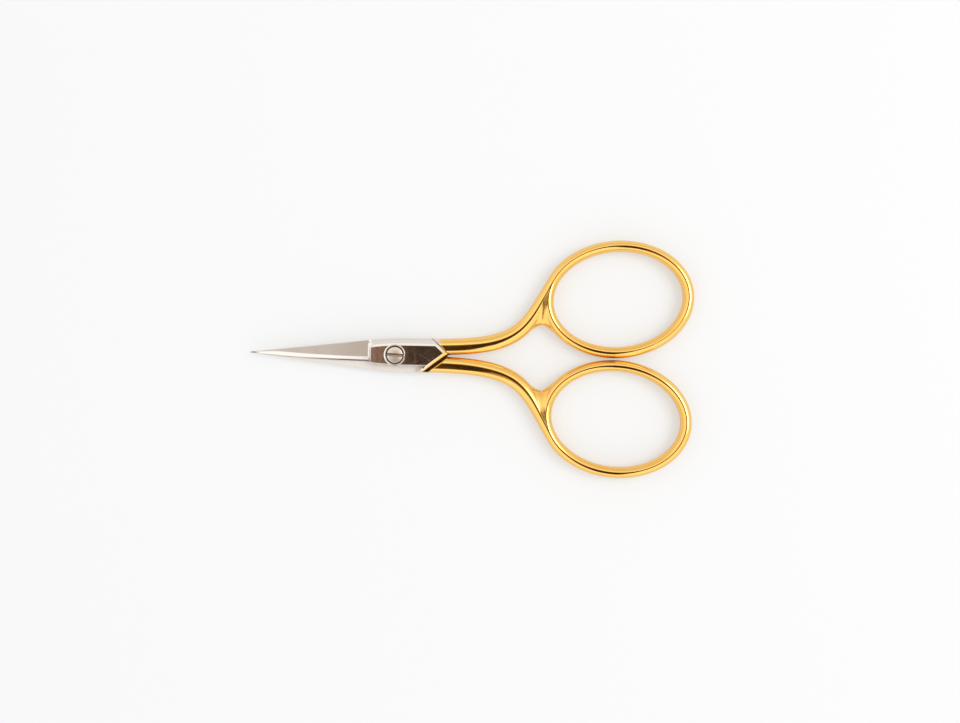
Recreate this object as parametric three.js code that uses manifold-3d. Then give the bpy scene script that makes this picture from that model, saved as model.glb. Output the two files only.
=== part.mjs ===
// Embroidery scissors, closed and lying flat.
// Millimetres, +Z up. +X runs from the pivot to the finger bows.
// The origin is where the pivot axis meets the table.
// Two forged halves turn on a slotted screw. Each has blade, pivot flat, shank and finger bow in one piece.

import * as THREE from 'three';
import { mergeVertices } from 'three/addons/utils/BufferGeometryUtils.js';
import Module from 'manifold-3d';

const wasm = await Module();
wasm.setup();

// Stack at the pivot
const halfThickness = 1.85; // middle plane to the outer flat of one half
const faceGap = 0.2; // running gap between the two inner faces

// Blade
const bladeLength = 29.3; // pivot axis to tip
const rootDistance = 5.5; // pivot axis to the foot of the plunge
const rootSpineWidth = 2.9; // centre line to spine at the root
const rootEdgeWidth = 1.32; // centre line to cutting edge at the root
const edgeBelly = 0.23; // bulge of the cutting edge at mid length
const tipWidth = 0.18; // width of the blunted tip
const rootThickness = 1.32; // middle plane to the spine at the root
const tipThickness = 0.45; // middle plane to the spine at the tip
const faceTilt = 8; // slope of the ground outer face, in degrees
const bevelWidth = 0.85; // sharpened bevel along the cutting edge
const edgeThickness = 0.06; // land left at the cutting edge
const spineRound = 0.28; // rounding along the spine
const hollowDepth = 0.1; // hollow grind of the inner face
const crestShare = 0.04; // share of the ground face that rolls over beside the spine
const tipRoundShare = 0.2; // largest share of the width that the rounding takes near the tip
const tipBevelShare = 0.7; // largest share of the width that the bevel takes near the tip
const plungeRadius = 0.6; // curve from the blade face up to the pivot flat

// Pivot flat
const ricassoWidth = 3.5; // centre line to the spine side
const ricassoEdgeWidth = 2.05; // centre line to the edge side
const shoulderEdgeWidth = 1.6; // centre line to the edge side at the front shoulder
const swellDistance = 2.0; // pivot axis to where the sides run parallel
const flatInset = 1.55; // spine side to the border of the flat
const padHeight = 0.45; // step of the flat above the crown of the spine side
const padChamfer = 0.5; // width of the chamfer along the flat
const crownDrop = 0.4; // fall of the crown from the flat to the spine side
const sideRound = 0.5; // reach of the rounding along the spine side
const edgeChamfer = 0.1; // chamfer of the flat on the edge side

// V-shaped lap joint behind the pivot
const jointDistance = 11.2; // pivot axis to the point of the V
const jointAngle = 42; // slant of the shoulders, in degrees
const jointGap = 0.25; // clearance between the shoulders
const jointChamfer = 0.62; // width of the chamfer of the flat along the V
const jointChamferDrop = 0.3; // its fall
const grooveAngle = 37; // slant of the file cut across the shank, in degrees
const grooveBank = 0.55; // width of the sloping bank of the file cut
const grooveBankDrop = 0.3; // fall of the bank
const grooveWidth = 0.75; // width of its floor
const grooveDepth = 0.8; // of its floor below the flat
const shoulderRim = 0.2; // chamfer on the shank where it meets the joint and the file cut

// Shank
const shankSetback = 4.2; // where the shank begins to curve, before the point of the V
const shankGap = 0.22; // daylight between the two shanks there
const shankHandle = 19.2; // length of the curve's first tangent
const shankEndHandle = 11.7; // length of the curve's last tangent
const shankWidth = 3.35; // at the joint
const shankEndWidth = 2.32; // where it has sunk into the bow
const shankRelief = 0.1; // crown of the shank below the flats
const shankSquareness = 2.5; // exponent of the section at the joint

// Finger bow
const bowDistance = 45.0; // pivot axis to the middle of the bow
const bowGap = 0.3; // daylight between the two bows
const bowLong = 14.26; // half length of its middle line
const bowShort = 10.77; // half width of its middle line
const bowTilt = 5.5; // splay of the long axis, in degrees
const bowWidth = 2.35; // of the wire, seen from above
const bowSquareness = 2.1; // exponent of the wire's section
const mergeAngle = 153; // where the shank runs into the bow, in degrees

// Web in the crotch between shank and bow
const webStart = 1.8; // where the web begins, measured back from where the shank runs into the bow
const webReach = 15.0; // where it has run out along shank and bow
const webLevel = 1.3; // distance between the middle lines up to which it is level
const webOpen = 6.0; // distance between the middle lines at its free border
const webCrease = 1.7; // exponent of its valley across, lower for a sharper crease
const webFall = 1.25; // exponent of its fall towards the free border
const webBelly = 0.6; // exponent of its rounding at the free border
const webSink = 0.12; // its crest below theirs
const webEdge = 0.05; // half thickness of its free border
const webInset = 0.05; // share of the way across that it stays clear of both middle lines

// Pivot screw
const screwDiameter = 2.0;
const headDiameter = 3.25;
const headHeight = 0.85;
const headDrop = 0.08; // top of the head below the flat
const headChamfer = 0.1;
const slotWidth = 0.5;
const slotDepth = 0.4;
const slotTurn = -3.5; // direction of the slot, in degrees
const boreClearance = 0.12; // round the screw in the top half
const threadClearance = 0.1; // round the screw in the bottom half
const headClearance = 0.17; // round the head
const seatClearance = 0.15; // under the head
const sinkWidth = 0.4; // chamfer round the counterbore

// Steps of the faceted surfaces
const bladeSteps = 26;
const plungeSteps = 8;
const ricassoSteps = 7;
const sideSteps = 4;
const hollowSteps = 4;
const shankSteps = 30;
const bowSteps = 72;
const sectionSides = 20;
const roundSteps = 40;
const webSteps = 10;
const webRings = 16;
const overshoot = 2.0; // how far a cutting solid reaches past what it cuts

// Finish
const nickelColour = new THREE.Color(0xcfc8be);
const goldColour = new THREE.Color(0xe2ac5a);

const radians = THREE.MathUtils.degToRad;
const lerp = THREE.MathUtils.lerp;
const innerFace = faceGap / 2;
const riseAtRoot = halfThickness - rootThickness;
const plungeRun = Math.sqrt(2 * plungeRadius * riseAtRoot - riseAtRoot ** 2);
const heelDistance = jointDistance + overshoot;
const collar = -grooveBank - grooveWidth;
const shankStart = jointDistance - shankSetback;
const shankOffset = (shankGap + shankWidth) / 2;
const bowReach = Math.hypot(bowLong * Math.sin(radians(bowTilt)), bowShort * Math.cos(radians(bowTilt)));
const bowOffset = bowReach + (bowWidth + bowGap) / 2;

// Solid for joining and cutting, from any closed geometry.
function toSolid(geometry) {
  const bare = new THREE.BufferGeometry();
  bare.setAttribute('position', geometry.getAttribute('position'));
  bare.setIndex(geometry.getIndex());
  const merged = mergeVertices(bare);
  const vertProperties = new Float32Array(merged.getAttribute('position').array);
  const triVerts = new Uint32Array(merged.getIndex().array);
  return new wasm.Manifold(new wasm.Mesh({ numProp: 3, vertProperties, triVerts }));
}

// Geometry with flat facets, from a finished solid.
function toGeometry(solid) {
  const mesh = solid.getMesh();
  const geometry = new THREE.BufferGeometry();
  geometry.setAttribute('position', new THREE.BufferAttribute(mesh.vertProperties, mesh.numProp));
  geometry.setIndex(new THREE.BufferAttribute(mesh.triVerts, 1));
  const facets = geometry.toNonIndexed();
  facets.computeVertexNormals();
  return facets;
}

// Skin through rings of equal point counts, which is closed in a loop or capped at both ends.
function loft(rings, isLoop) {
  const count = rings[0].length;
  const points = rings.flat();
  const indices = [];
  const spans = isLoop ? rings.length : rings.length - 1;
  for (let i = 0; i < spans; i += 1) {
    const near = i * count;
    const far = ((i + 1) % rings.length) * count;
    for (let j = 0; j < count; j += 1) {
      const next = (j + 1) % count;
      indices.push(near + j, near + next, far + next);
      indices.push(near + j, far + next, far + j);
    }
  }
  if (!isLoop) {
    const last = (rings.length - 1) * count;
    for (const [start, isFirst] of [[0, true], [last, false]]) {
      const centre = new THREE.Vector3();
      for (let j = 0; j < count; j += 1) {
        centre.addScaledVector(points[start + j], 1 / count);
      }
      const hub = points.push(centre) - 1;
      for (let j = 0; j < count; j += 1) {
        const next = (j + 1) % count;
        const [a, b] = isFirst ? [next, j] : [j, next];
        indices.push(hub, start + a, start + b);
      }
    }
  }
  const geometry = new THREE.BufferGeometry().setFromPoints(points);
  geometry.setIndex(indices);
  return toSolid(geometry);
}

// Round body from a profile of radius and height pairs that starts and ends on the axis.
function turned(profile) {
  const geometry = new THREE.LatheGeometry(profile.map(([r, z]) => new THREE.Vector2(r, z)), roundSteps);
  geometry.rotateX(Math.PI / 2);
  return toSolid(geometry);
}

// Bar laid along one arm of the V.
// The profile runs outward across the arm and upward from the middle plane.
function barAlongArm(profile, angle, side) {
  const outline = new THREE.Shape(profile.map(([across, up]) => new THREE.Vector2(across, up)));
  const length = 2 * heelDistance;
  const geometry = new THREE.ExtrudeGeometry(outline, { depth: length, bevelEnabled: false });
  geometry.translate(0, 0, -length / 2);
  const across = new THREE.Vector3(Math.sin(radians(angle)), side * Math.cos(radians(angle)), 0);
  const up = new THREE.Vector3(0, 0, 1);
  const along = new THREE.Vector3().crossVectors(across, up);
  const place = new THREE.Matrix4().makeBasis(across, up, along);
  place.setPosition(jointDistance, 0, 0);
  geometry.applyMatrix4(place);
  return toSolid(geometry);
}

// Section of the blade at x, from the cutting edge across the inner face and over the spine to the bevel.
function bladeSection(x) {
  const along = THREE.MathUtils.clamp((x + bladeLength) / (bladeLength - rootDistance), 0, 1);
  const spine = lerp(tipWidth / 2, rootSpineWidth, along);
  const edge = -lerp(tipWidth / 2, rootEdgeWidth, along) - edgeBelly * 4 * along * (1 - along);
  const width = spine - edge;
  const round = Math.min(spineRound, width * tipRoundShare);
  const bevel = Math.min(bevelWidth, width * tipBevelShare);
  const spineTop = lerp(tipThickness, rootThickness, along);
  const bevelTop = edge + bevel;
  const faceStart = spine - round;
  const faceDrop = (faceStart - bevelTop) * Math.tan(radians(faceTilt));
  const section = [];
  for (let k = 0; k <= hollowSteps; k += 1) {
    const share = k / hollowSteps;
    const hollow = hollowDepth * Math.min(1, width / rootSpineWidth) * 4 * share * (1 - share);
    section.push([lerp(edge, spine, share), innerFace + hollow]);
  }
  for (let k = 0; k <= sideSteps; k += 1) {
    const turn = (Math.PI / 2) * (k / sideSteps);
    section.push([spine - round * (1 - Math.cos(turn)), spineTop - round * (1 - Math.sin(turn))]);
  }
  section.push([lerp(faceStart, bevelTop, crestShare), spineTop - faceDrop * crestShare]);
  section.push([bevelTop, spineTop - faceDrop]);
  section.push([edge, innerFace + edgeThickness]);
  return section;
}

// Section of the pivot flat at x.
// A rounded spine side, a crown that rises to the flat's chamfer, and the flat.
function ricassoSection(x) {
  const along = THREE.MathUtils.clamp((x + rootDistance) / (swellDistance + rootDistance), 0, 1);
  const swell = 1 - (1 - along) ** 2;
  const side = lerp(rootSpineWidth, ricassoWidth, swell);
  const edge = -lerp(shoulderEdgeWidth, ricassoEdgeWidth, swell);
  const foot = new THREE.Vector2(side - flatInset + padChamfer, halfThickness - padHeight);
  const crown = new THREE.Vector2(side, foot.y - crownDrop);
  const start = new THREE.Vector2(side, crown.y - sideRound);
  const end = crown.clone().addScaledVector(foot.clone().sub(crown).normalize(), sideRound);
  const sideArc = new THREE.QuadraticBezierCurve(start, crown, end);
  const section = [];
  for (let k = 0; k <= hollowSteps; k += 1) {
    section.push([lerp(edge, side, k / hollowSteps), innerFace]);
  }
  for (const point of [...sideArc.getPoints(sideSteps - 1), foot]) {
    section.push([point.x, point.y]);
  }
  section.push([side - flatInset, halfThickness]);
  section.push([edge + edgeChamfer, halfThickness]);
  section.push([edge, halfThickness - edgeChamfer]);
  return section;
}

// Blade and pivot flat as one loft along X, with a concave plunge where the ground face meets the flat.
function bladeAndFlat() {
  const rings = [];
  const addRing = (x, share) => {
    const blade = bladeSection(x);
    const ricasso = ricassoSection(x);
    rings.push(blade.map(([y, z], i) => (
      new THREE.Vector3(x, lerp(y, ricasso[i][0], share), lerp(z, ricasso[i][1], share))
    )));
  };
  for (let i = 0; i < bladeSteps; i += 1) {
    addRing(lerp(-bladeLength, -rootDistance, i / bladeSteps), 0);
  }
  for (let i = 0; i < plungeSteps; i += 1) {
    const turn = (i / plungeSteps) * Math.acos(1 - riseAtRoot / plungeRadius);
    addRing(plungeRadius * Math.sin(turn) - rootDistance, plungeRadius * (1 - Math.cos(turn)) / riseAtRoot);
  }
  for (let i = 0; i <= ricassoSteps; i += 1) {
    addRing(lerp(plungeRun - rootDistance, heelDistance, i / ricassoSteps), 1);
  }
  return loft(rings, false);
}

// Point on the bow's middle line. The bow of this half lies on the -Y side.
function bowPoint(angle) {
  const flat = new THREE.Vector2(bowLong * Math.cos(angle), bowShort * Math.sin(angle));
  flat.rotateAround(new THREE.Vector2(), radians(bowTilt));
  return new THREE.Vector2(bowDistance + flat.x, -(bowOffset + flat.y));
}

// Direction of travel along the bow's middle line, from the shank over its outer side.
function bowHeading(angle) {
  const flat = new THREE.Vector2(bowLong * Math.sin(angle), -bowShort * Math.cos(angle));
  flat.rotateAround(new THREE.Vector2(), radians(bowTilt));
  return new THREE.Vector2(flat.x, -flat.y).normalize();
}

// Ring of a rounded section set square to a plan path.
function sectionRing(point, heading, halfWidth, halfHeight, squareness) {
  const ring = [];
  for (let j = 0; j < sectionSides; j += 1) {
    const turn = (2 * Math.PI * j) / sectionSides;
    const across = Math.sign(Math.cos(turn)) * Math.abs(Math.cos(turn)) ** (2 / squareness) * halfWidth;
    const up = Math.sign(Math.sin(turn)) * Math.abs(Math.sin(turn)) ** (2 / squareness) * halfHeight;
    ring.push(new THREE.Vector3(point.x - heading.y * across, point.y + heading.x * across, up));
  }
  return ring;
}

// Middle line of the shank, from the joint until it runs into the bow.
const shankEnd = bowPoint(radians(mergeAngle));
const shankCurve = new THREE.CubicBezierCurve(
  new THREE.Vector2(shankStart, -shankOffset),
  new THREE.Vector2(shankStart + shankHandle, -shankOffset),
  shankEnd.clone().addScaledVector(bowHeading(radians(mergeAngle)), -shankEndHandle),
  shankEnd,
);

// Half width of the shank at a share of its curve.
function shankHalfWidth(share) {
  return lerp(shankWidth, shankEndWidth, share ** 3) / 2;
}

// Shank, from before the joint until it has sunk into the bow.
function shank() {
  const halfHeight = halfThickness - shankRelief;
  const start = shankCurve.getPoint(0);
  const forward = new THREE.Vector2(1, 0);
  const lead = new THREE.Vector2(start.x - shankSetback, start.y);
  const rings = [sectionRing(lead, forward, shankWidth / 2, halfHeight, shankSquareness)];
  for (let i = 0; i <= shankSteps; i += 1) {
    const share = i / shankSteps;
    const squareness = lerp(shankSquareness, bowSquareness, share);
    const point = shankCurve.getPoint(share);
    const heading = shankCurve.getTangent(share);
    rings.push(sectionRing(point, heading, shankHalfWidth(share), halfHeight, squareness));
  }
  return loft(rings, false);
}

// Bow, a closed ring of wire.
function bow() {
  const rings = [];
  for (let i = 0; i < bowSteps; i += 1) {
    const angle = radians(mergeAngle) - (2 * Math.PI * i) / bowSteps;
    rings.push(sectionRing(bowPoint(angle), bowHeading(angle), bowWidth / 2, halfThickness, bowSquareness));
  }
  return loft(rings, true);
}

// Point of the web at a travel back from where shank and bow meet and a share across from shank to bow.
// Its fill is 0 on both middle lines and 1 at the free border.
function webPoint(travel, across) {
  const share = shankCurve.getUtoTmapping(1 - travel / shankCurve.getLength());
  const angle = radians(mergeAngle) + travel / bowShort;
  const onShank = shankCurve.getPoint(share);
  const onBow = bowPoint(angle);
  const spread = Math.max(onShank.distanceTo(onBow) - webLevel, 0) / (webOpen - webLevel);
  const fill = spread * (1 - Math.abs(2 * across - 1) ** webCrease);
  const crest = lerp(halfThickness - shankRelief, halfThickness, across) - webSink;
  const height = crest * Math.max(1 - fill ** webFall, 0) ** webBelly;
  return { plan: onShank.lerp(onBow, across), height: Math.max(height, webEdge), fill };
}

// Travel at which the web reaches its free border.
// The span that holds it is halved until no number lies inside it.
function webBorder(across) {
  let low = webStart;
  let high = webReach;
  let middle = (low + high) / 2;
  while (low < middle && middle < high) {
    if (webPoint(middle, across).fill < 1) {
      low = middle;
    } else {
      high = middle;
    }
    middle = (low + high) / 2;
  }
  return middle;
}

// Web that fills the crotch like a saddle.
// Beside their middle lines it follows shank and bow, and it thins out to the free border between them.
function web() {
  const rings = [];
  for (let i = 0; i <= webRings; i += 1) {
    const across = lerp(1 - webInset, webInset, i / webRings);
    const border = webBorder(across);
    const upper = [];
    for (let j = 0; j <= webSteps; j += 1) {
      const travel = lerp(webStart, border, Math.sin((Math.PI / 2) * (j / webSteps)));
      const { plan, height } = webPoint(travel, across);
      upper.push(new THREE.Vector3(plan.x, plan.y, height));
    }
    const lower = upper.map(({ x, y, z }) => new THREE.Vector3(x, y, -z)).reverse();
    rings.push([...upper, ...lower]);
  }
  return loft(rings, false);
}

// One forged half with its blade and flat on the upper layer, its spine on +Y and its bow on -Y.
function forgedHalf(pivotCut) {
  const above = halfThickness + overshoot;
  const beyond = 2 * heelDistance;

  // The flat ends in a V: a chamfered shoulder on the spine side and the file cut on the shank side
  const shoulder = barAlongArm([
    [-jointChamfer, above],
    [-jointChamfer, halfThickness],
    [0, halfThickness - jointChamferDrop],
    [0, -above],
    [beyond, -above],
    [beyond, above],
  ], jointAngle, 1);
  const heel = -grooveWidth / 2;
  const behindCut = barAlongArm(
    [[heel, -above], [beyond, -above], [beyond, above], [heel, above]],
    grooveAngle,
    -1,
  );
  const plate = bladeAndFlat().subtract(shoulder).subtract(behindCut);

  // The shank fills both layers, less the room that the other half's flat and shoulder need
  const beforeCollar = barAlongArm(
    [[collar, above], [-beyond, above], [-beyond, -above], [collar, -above]],
    grooveAngle,
    -1,
  );
  const roomForOther = barAlongArm([
    [jointGap, innerFace],
    [-beyond, innerFace],
    [-beyond, -above],
    [jointGap + shoulderRim + overshoot, -above],
    [jointGap, shoulderRim - halfThickness],
  ], jointAngle, -1);
  const handle = shank().subtract(beforeCollar).subtract(roomForOther).add(bow()).add(web());

  const fileCut = barAlongArm([
    [collar, above],
    [collar, halfThickness],
    [-grooveWidth, halfThickness - grooveBankDrop],
    [-grooveWidth, halfThickness - grooveDepth],
    [0, halfThickness - grooveDepth],
    [0, halfThickness - shoulderRim],
    [shoulderRim + overshoot, above],
  ], grooveAngle, -1);
  return plate.add(handle).subtract(fileCut).subtract(pivotCut);
}

// Counterbored hole through the top half, with a chamfer round the screw's head.
function counterbore() {
  const bore = screwDiameter / 2 + boreClearance;
  const room = headDiameter / 2 + headClearance;
  const seat = halfThickness - headDrop - headHeight - seatClearance;
  return turned([
    [0, -overshoot],
    [bore, -overshoot],
    [bore, seat],
    [room, seat],
    [room, halfThickness - sinkWidth],
    [room + sinkWidth + overshoot, halfThickness + overshoot],
    [0, halfThickness + overshoot],
  ]);
}

// Tapped hole through the bottom half.
function tappedHole() {
  const bore = screwDiameter / 2 + threadClearance;
  return turned([
    [0, -overshoot],
    [bore, -overshoot],
    [bore, halfThickness + overshoot],
    [0, halfThickness + overshoot],
  ]);
}

// Slotted screw, with its end filed flush with the underside.
function pivotScrew() {
  const top = halfThickness - headDrop;
  const body = turned([
    [0, -halfThickness],
    [screwDiameter / 2, -halfThickness],
    [screwDiameter / 2, top - headHeight],
    [headDiameter / 2, top - headHeight],
    [headDiameter / 2, top - headChamfer],
    [headDiameter / 2 - headChamfer, top],
    [0, top],
  ]);
  const slot = new THREE.BoxGeometry(headDiameter + overshoot, slotWidth, slotDepth + overshoot);
  slot.translate(0, 0, top - slotDepth + (slotDepth + overshoot) / 2);
  slot.rotateZ(radians(slotTurn));
  return body.subtract(toSolid(slot));
}

// Nickel on the blade and flat, gold from the file cut on.
function platedMesh(name, solid) {
  const geometry = toGeometry(solid);
  const position = geometry.getAttribute('position');
  const colours = new Float32Array(position.count * 3);
  const acrossX = Math.sin(radians(grooveAngle));
  const acrossY = -Math.cos(radians(grooveAngle));
  for (let i = 0; i < position.count; i += 3) {
    const x = (position.getX(i) + position.getX(i + 1) + position.getX(i + 2)) / 3;
    const y = (position.getY(i) + position.getY(i + 1) + position.getY(i + 2)) / 3;
    const isGold = (x - jointDistance) * acrossX + y * acrossY > collar;
    const colour = isGold ? goldColour : nickelColour;
    for (let k = 0; k < 3; k += 1) {
      colour.toArray(colours, (i + k) * 3);
    }
  }
  geometry.setAttribute('color', new THREE.BufferAttribute(colours, 3));
  const plating = new THREE.MeshStandardMaterial({ vertexColors: true, roughness: 0.12, metalness: 1 });
  const mesh = new THREE.Mesh(geometry, plating);
  mesh.name = name;
  mesh.position.z = halfThickness;
  return mesh;
}

const topHalf = platedMesh('top_half', forgedHalf(counterbore()));

const bottomHalf = platedMesh('bottom_half', forgedHalf(tappedHole()));
bottomHalf.rotation.x = Math.PI;

const screwFinish = new THREE.MeshStandardMaterial({ color: 0xd8d2c8, roughness: 0.2, metalness: 1 });
const screw = new THREE.Mesh(toGeometry(pivotScrew()), screwFinish);
screw.name = 'pivot_screw';
screw.position.z = halfThickness;

const scissors = new THREE.Group();
scissors.name = 'embroidery_scissors';
scissors.add(topHalf, bottomHalf, screw);

export default scissors;
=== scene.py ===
"""Small embroidery scissors, nickel-plated blades and gold-plated bows, lying closed on a white table.

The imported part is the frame. Each forged half becomes two dressed pieces, a nickel blade with its pivot
flat and a gold handle with shank, web and finger bow, and the pivot screw is a third kind. Every skin is a
numpy grid: a section carried along a path. Sizes are in millimetres, in the half's own frame: its blade
lies in the upper layer, its spine towards +Y, its bow towards -Y, and heights count from the middle plane.
"""

import logging
import math
from collections.abc import Callable, Sequence
from dataclasses import dataclass
from enum import Enum, IntEnum
from typing import Any

import bpy
import numpy as np
from numpy.typing import NDArray
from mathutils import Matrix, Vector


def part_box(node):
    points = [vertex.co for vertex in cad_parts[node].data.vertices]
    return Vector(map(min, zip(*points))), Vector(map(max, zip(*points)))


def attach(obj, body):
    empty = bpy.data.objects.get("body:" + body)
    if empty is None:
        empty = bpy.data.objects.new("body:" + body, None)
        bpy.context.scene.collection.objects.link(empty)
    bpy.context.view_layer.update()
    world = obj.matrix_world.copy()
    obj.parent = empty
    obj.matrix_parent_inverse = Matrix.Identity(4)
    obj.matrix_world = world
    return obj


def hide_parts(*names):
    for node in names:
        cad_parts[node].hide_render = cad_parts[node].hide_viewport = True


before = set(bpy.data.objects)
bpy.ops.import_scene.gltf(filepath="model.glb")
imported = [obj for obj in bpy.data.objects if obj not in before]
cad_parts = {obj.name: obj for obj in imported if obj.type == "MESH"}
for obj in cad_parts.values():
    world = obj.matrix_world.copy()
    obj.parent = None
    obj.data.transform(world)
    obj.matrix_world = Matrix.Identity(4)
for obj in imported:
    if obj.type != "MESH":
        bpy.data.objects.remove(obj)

Array = NDArray[np.float64]
Colour = tuple[float, float, float]
Place = tuple[float, float, float]
Pair = tuple[float, float]
Run = tuple[float, float]  # where a change begins and where it is complete
Share = Callable[[Array], Array]

LOG = logging.getLogger("scissors")
METRE = 0.001  # metres in a millimetre
NORMAL = "exact_normal"
FLOW = "flow"
SATIN = "satin"
GOLD_SHARE = "gold_share"
# share of painted shade: a dark colour painted on the tip, the edges, the recesses and the slot
PAINTED_SHADE = "painted_shade"
UP = np.array([0.0, 0.0, 1.0])
EDGE_USE = 0.96  # share of an edge that the arcs at its ends may use
TINY = 1e-12  # keeps a division by a length of nothing from failing
NUMBER = "NodeSocketFloat"
VECTOR = "NodeSocketVector"


class Side(Enum):
    """Which way up a forged half lies: as modelled, or turned over about the long axis."""

    TOP = 1
    BOTTOM = -1


class Corner(IntEnum):
    """Named corners of the blade's section, counted from the edge along the inner face."""

    EDGE = 0
    BACK = 1
    SPINE = 2
    BEVEL = 6
    LAND = 7
    RIM = 8


class Arm(IntEnum):
    """An arm of the V behind the pivot, by the side that it slants to."""

    SPINE = 1
    SHANK = -1


class Work(Enum):
    """What a tool does to a workpiece, by Blender's name of the boolean."""

    JOIN = "UNION"
    CUT = "DIFFERENCE"


class Rise(Enum):
    """How a ramp rises, by Blender's name of the interpolation."""

    LEVEL_ENDS = "SMOOTHSTEP"
    STRAIGHT = "LINEAR"


def unit(vectors: Array) -> Array:
    """Scale vectors along the last axis to length one."""
    length = np.linalg.norm(vectors, axis=-1, keepdims=True)
    return vectors / np.maximum(length, TINY)


def mix(start: Any, end: Any, share: Any) -> Any:
    """Go from start to end by a share, for numbers or arrays."""
    return start + (end - start) * share


def smooth(run: Run, value: Array) -> Array:
    """Rise from 0 at the run's start to 1 at its end, with level ends."""
    share = np.clip((value - run[0]) / (run[1] - run[0]), 0, 1)
    return share * share * (3 - 2 * share)


def hump(share: Array) -> Array:
    """Rise along a parabola from 0 to 1 halfway and back to 0."""
    return 4 * share * (1 - share)


def parabola(start: Any, corner: Any, end: Any, share: Array) -> Array:
    """Leave start towards a corner and reach end as if coming from that corner."""
    return (1 - share) ** 2 * start + 2 * share * (1 - share) * corner + share**2 * end


@dataclass
class Surface:
    """A closed skin with the exact normal, the flow and the satin share at each corner of each face.

    Attributes:
        points: Corner points in millimetres.
        faces: Indices of each face.
        normals: Outward normal for each face corner.
        flow: Distance along and around the skin for each face corner, in millimetres.
        satin: How far each face corner is ground satin instead of polished, from 0 to 1.
    """

    points: Array
    faces: list[list[int]]
    normals: Array
    flow: Array
    satin: Array


def skin(grid: Array, is_loop: bool, satin: Array | None = None, has_bent_ends: bool = False) -> Surface:
    """Close a grid of rings into a skin.

    A point's normal is the cross product of the differences around its ring and along the rings. An open
    run of rings gets a flat face at each end, or a strip of faces from the ring's first half to its second
    where the ring is bent.

    Args:
        grid: Rings by points by 3, each ring closed, in millimetres.
        is_loop: Whether the last ring joins the first.
        satin: Satin share for each grid point, none if the skin is polished all over.
        has_bent_ends: Whether the end rings are bent, so that one flat face can't close them.

    Returns:
        The closed skin, facing out.
    """
    rings, count, _ = grid.shape
    wrapped = np.concatenate([grid, grid[:1]]) if is_loop else grid
    wrapped = np.concatenate([wrapped, wrapped[:, :1]], axis=1)
    if is_loop:
        along = np.roll(grid, -1, axis=0) - np.roll(grid, 1, axis=0)
    else:
        along = np.gradient(grid, axis=0)
    around = np.roll(grid, -1, axis=1) - np.roll(grid, 1, axis=1)
    normals = unit(np.cross(around, along))
    run = np.linalg.norm(np.diff(wrapped, axis=0), axis=-1).mean(axis=1)
    turn = np.linalg.norm(np.diff(wrapped, axis=1), axis=-1).mean(axis=0)
    run = np.concatenate([[0], np.cumsum(run)])
    turn = np.concatenate([[0], np.cumsum(turn)])

    spans = rings if is_loop else rings - 1
    near, start = np.meshgrid(np.arange(spans), np.arange(count), indexing="ij")
    row = np.stack([near, near, near + 1, near + 1], axis=-1).reshape(-1, 4)
    column = np.stack([start, start + 1, start + 1, start], axis=-1).reshape(-1, 4)
    quads = (row % rings) * count + column % count
    shares = np.zeros((rings, count)) if satin is None else satin
    corner_normals = [normals.reshape(-1, 3)[quads.ravel()]]
    flows = [np.stack([run[row.ravel()], turn[column.ravel()]], axis=-1)]
    satins = [shares.ravel()[quads.ravel()]]
    faces = quads.tolist()
    if not is_loop:
        first = np.arange(count)[::-1]
        last = np.arange(count) + (rings - 1) * count
        place = np.arange(count // 2 - 1)
        strip = np.stack([place, place + 1, count - 2 - place, count - 1 - place], axis=-1)
        for border in (first, last):
            ends = border[strip if has_bent_ends else np.arange(count)[None]]
            faces += ends.tolist()
            ring = grid.reshape(-1, 3)[border]
            facing = np.cross(ring, np.roll(ring, -1, axis=0)).sum(axis=0)
            corner_normals.append(np.tile(unit(facing), (ends.size, 1)))
            flows.append(np.zeros((ends.size, 2)))
            satins.append(np.zeros(ends.size))
    return Surface(
        grid.reshape(-1, 3),
        faces,
        np.concatenate(corner_normals),
        np.concatenate(flows),
        np.concatenate(satins),
    )


def rounded(corners: Array, reach: Array, steps: int, fill: Sequence[int]) -> Array:
    """Round the corners of closed polygons.

    Each corner becomes a parabola arc that starts and ends the given reach away from it. Where two arcs
    would meet they share the edge in proportion to their reaches. The straight stretch after each corner is
    filled with evenly spaced points.

    Args:
        corners: Polygons by corners by 2.
        reach: Polygons by corners, the reach of each arc along both of its edges.
        steps: Spans of each arc.
        fill: Extra points on the straight stretch after each corner.

    Returns:
        Polygons by points by 2.
    """
    forward = np.roll(corners, -1, axis=1) - corners
    length = EDGE_USE * np.linalg.norm(forward, axis=-1)
    following = np.roll(reach, -1, axis=1)
    both = np.maximum(reach + following, TINY)
    room_after = length * reach / both
    room_before = np.roll(length * following / both, 1, axis=1)
    after = np.minimum(reach, room_after)[..., None] * unit(forward)
    before = np.minimum(reach, room_before)[..., None] * unit(np.roll(forward, 1, axis=1))
    enter = corners - before
    leave = corners + after
    share = np.linspace(0, 1, steps + 1)[:, None]
    pieces = []
    for k, extra in enumerate(fill):
        arc = parabola(enter[:, k, None], corners[:, k, None], leave[:, k, None], share)
        target = enter[:, (k + 1) % len(fill), None]
        gap = np.linspace(0, 1, extra + 2)[1:-1, None]
        pieces += [arc, mix(leave[:, k, None], target, gap)]
    return np.concatenate(pieces, axis=1)


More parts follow.
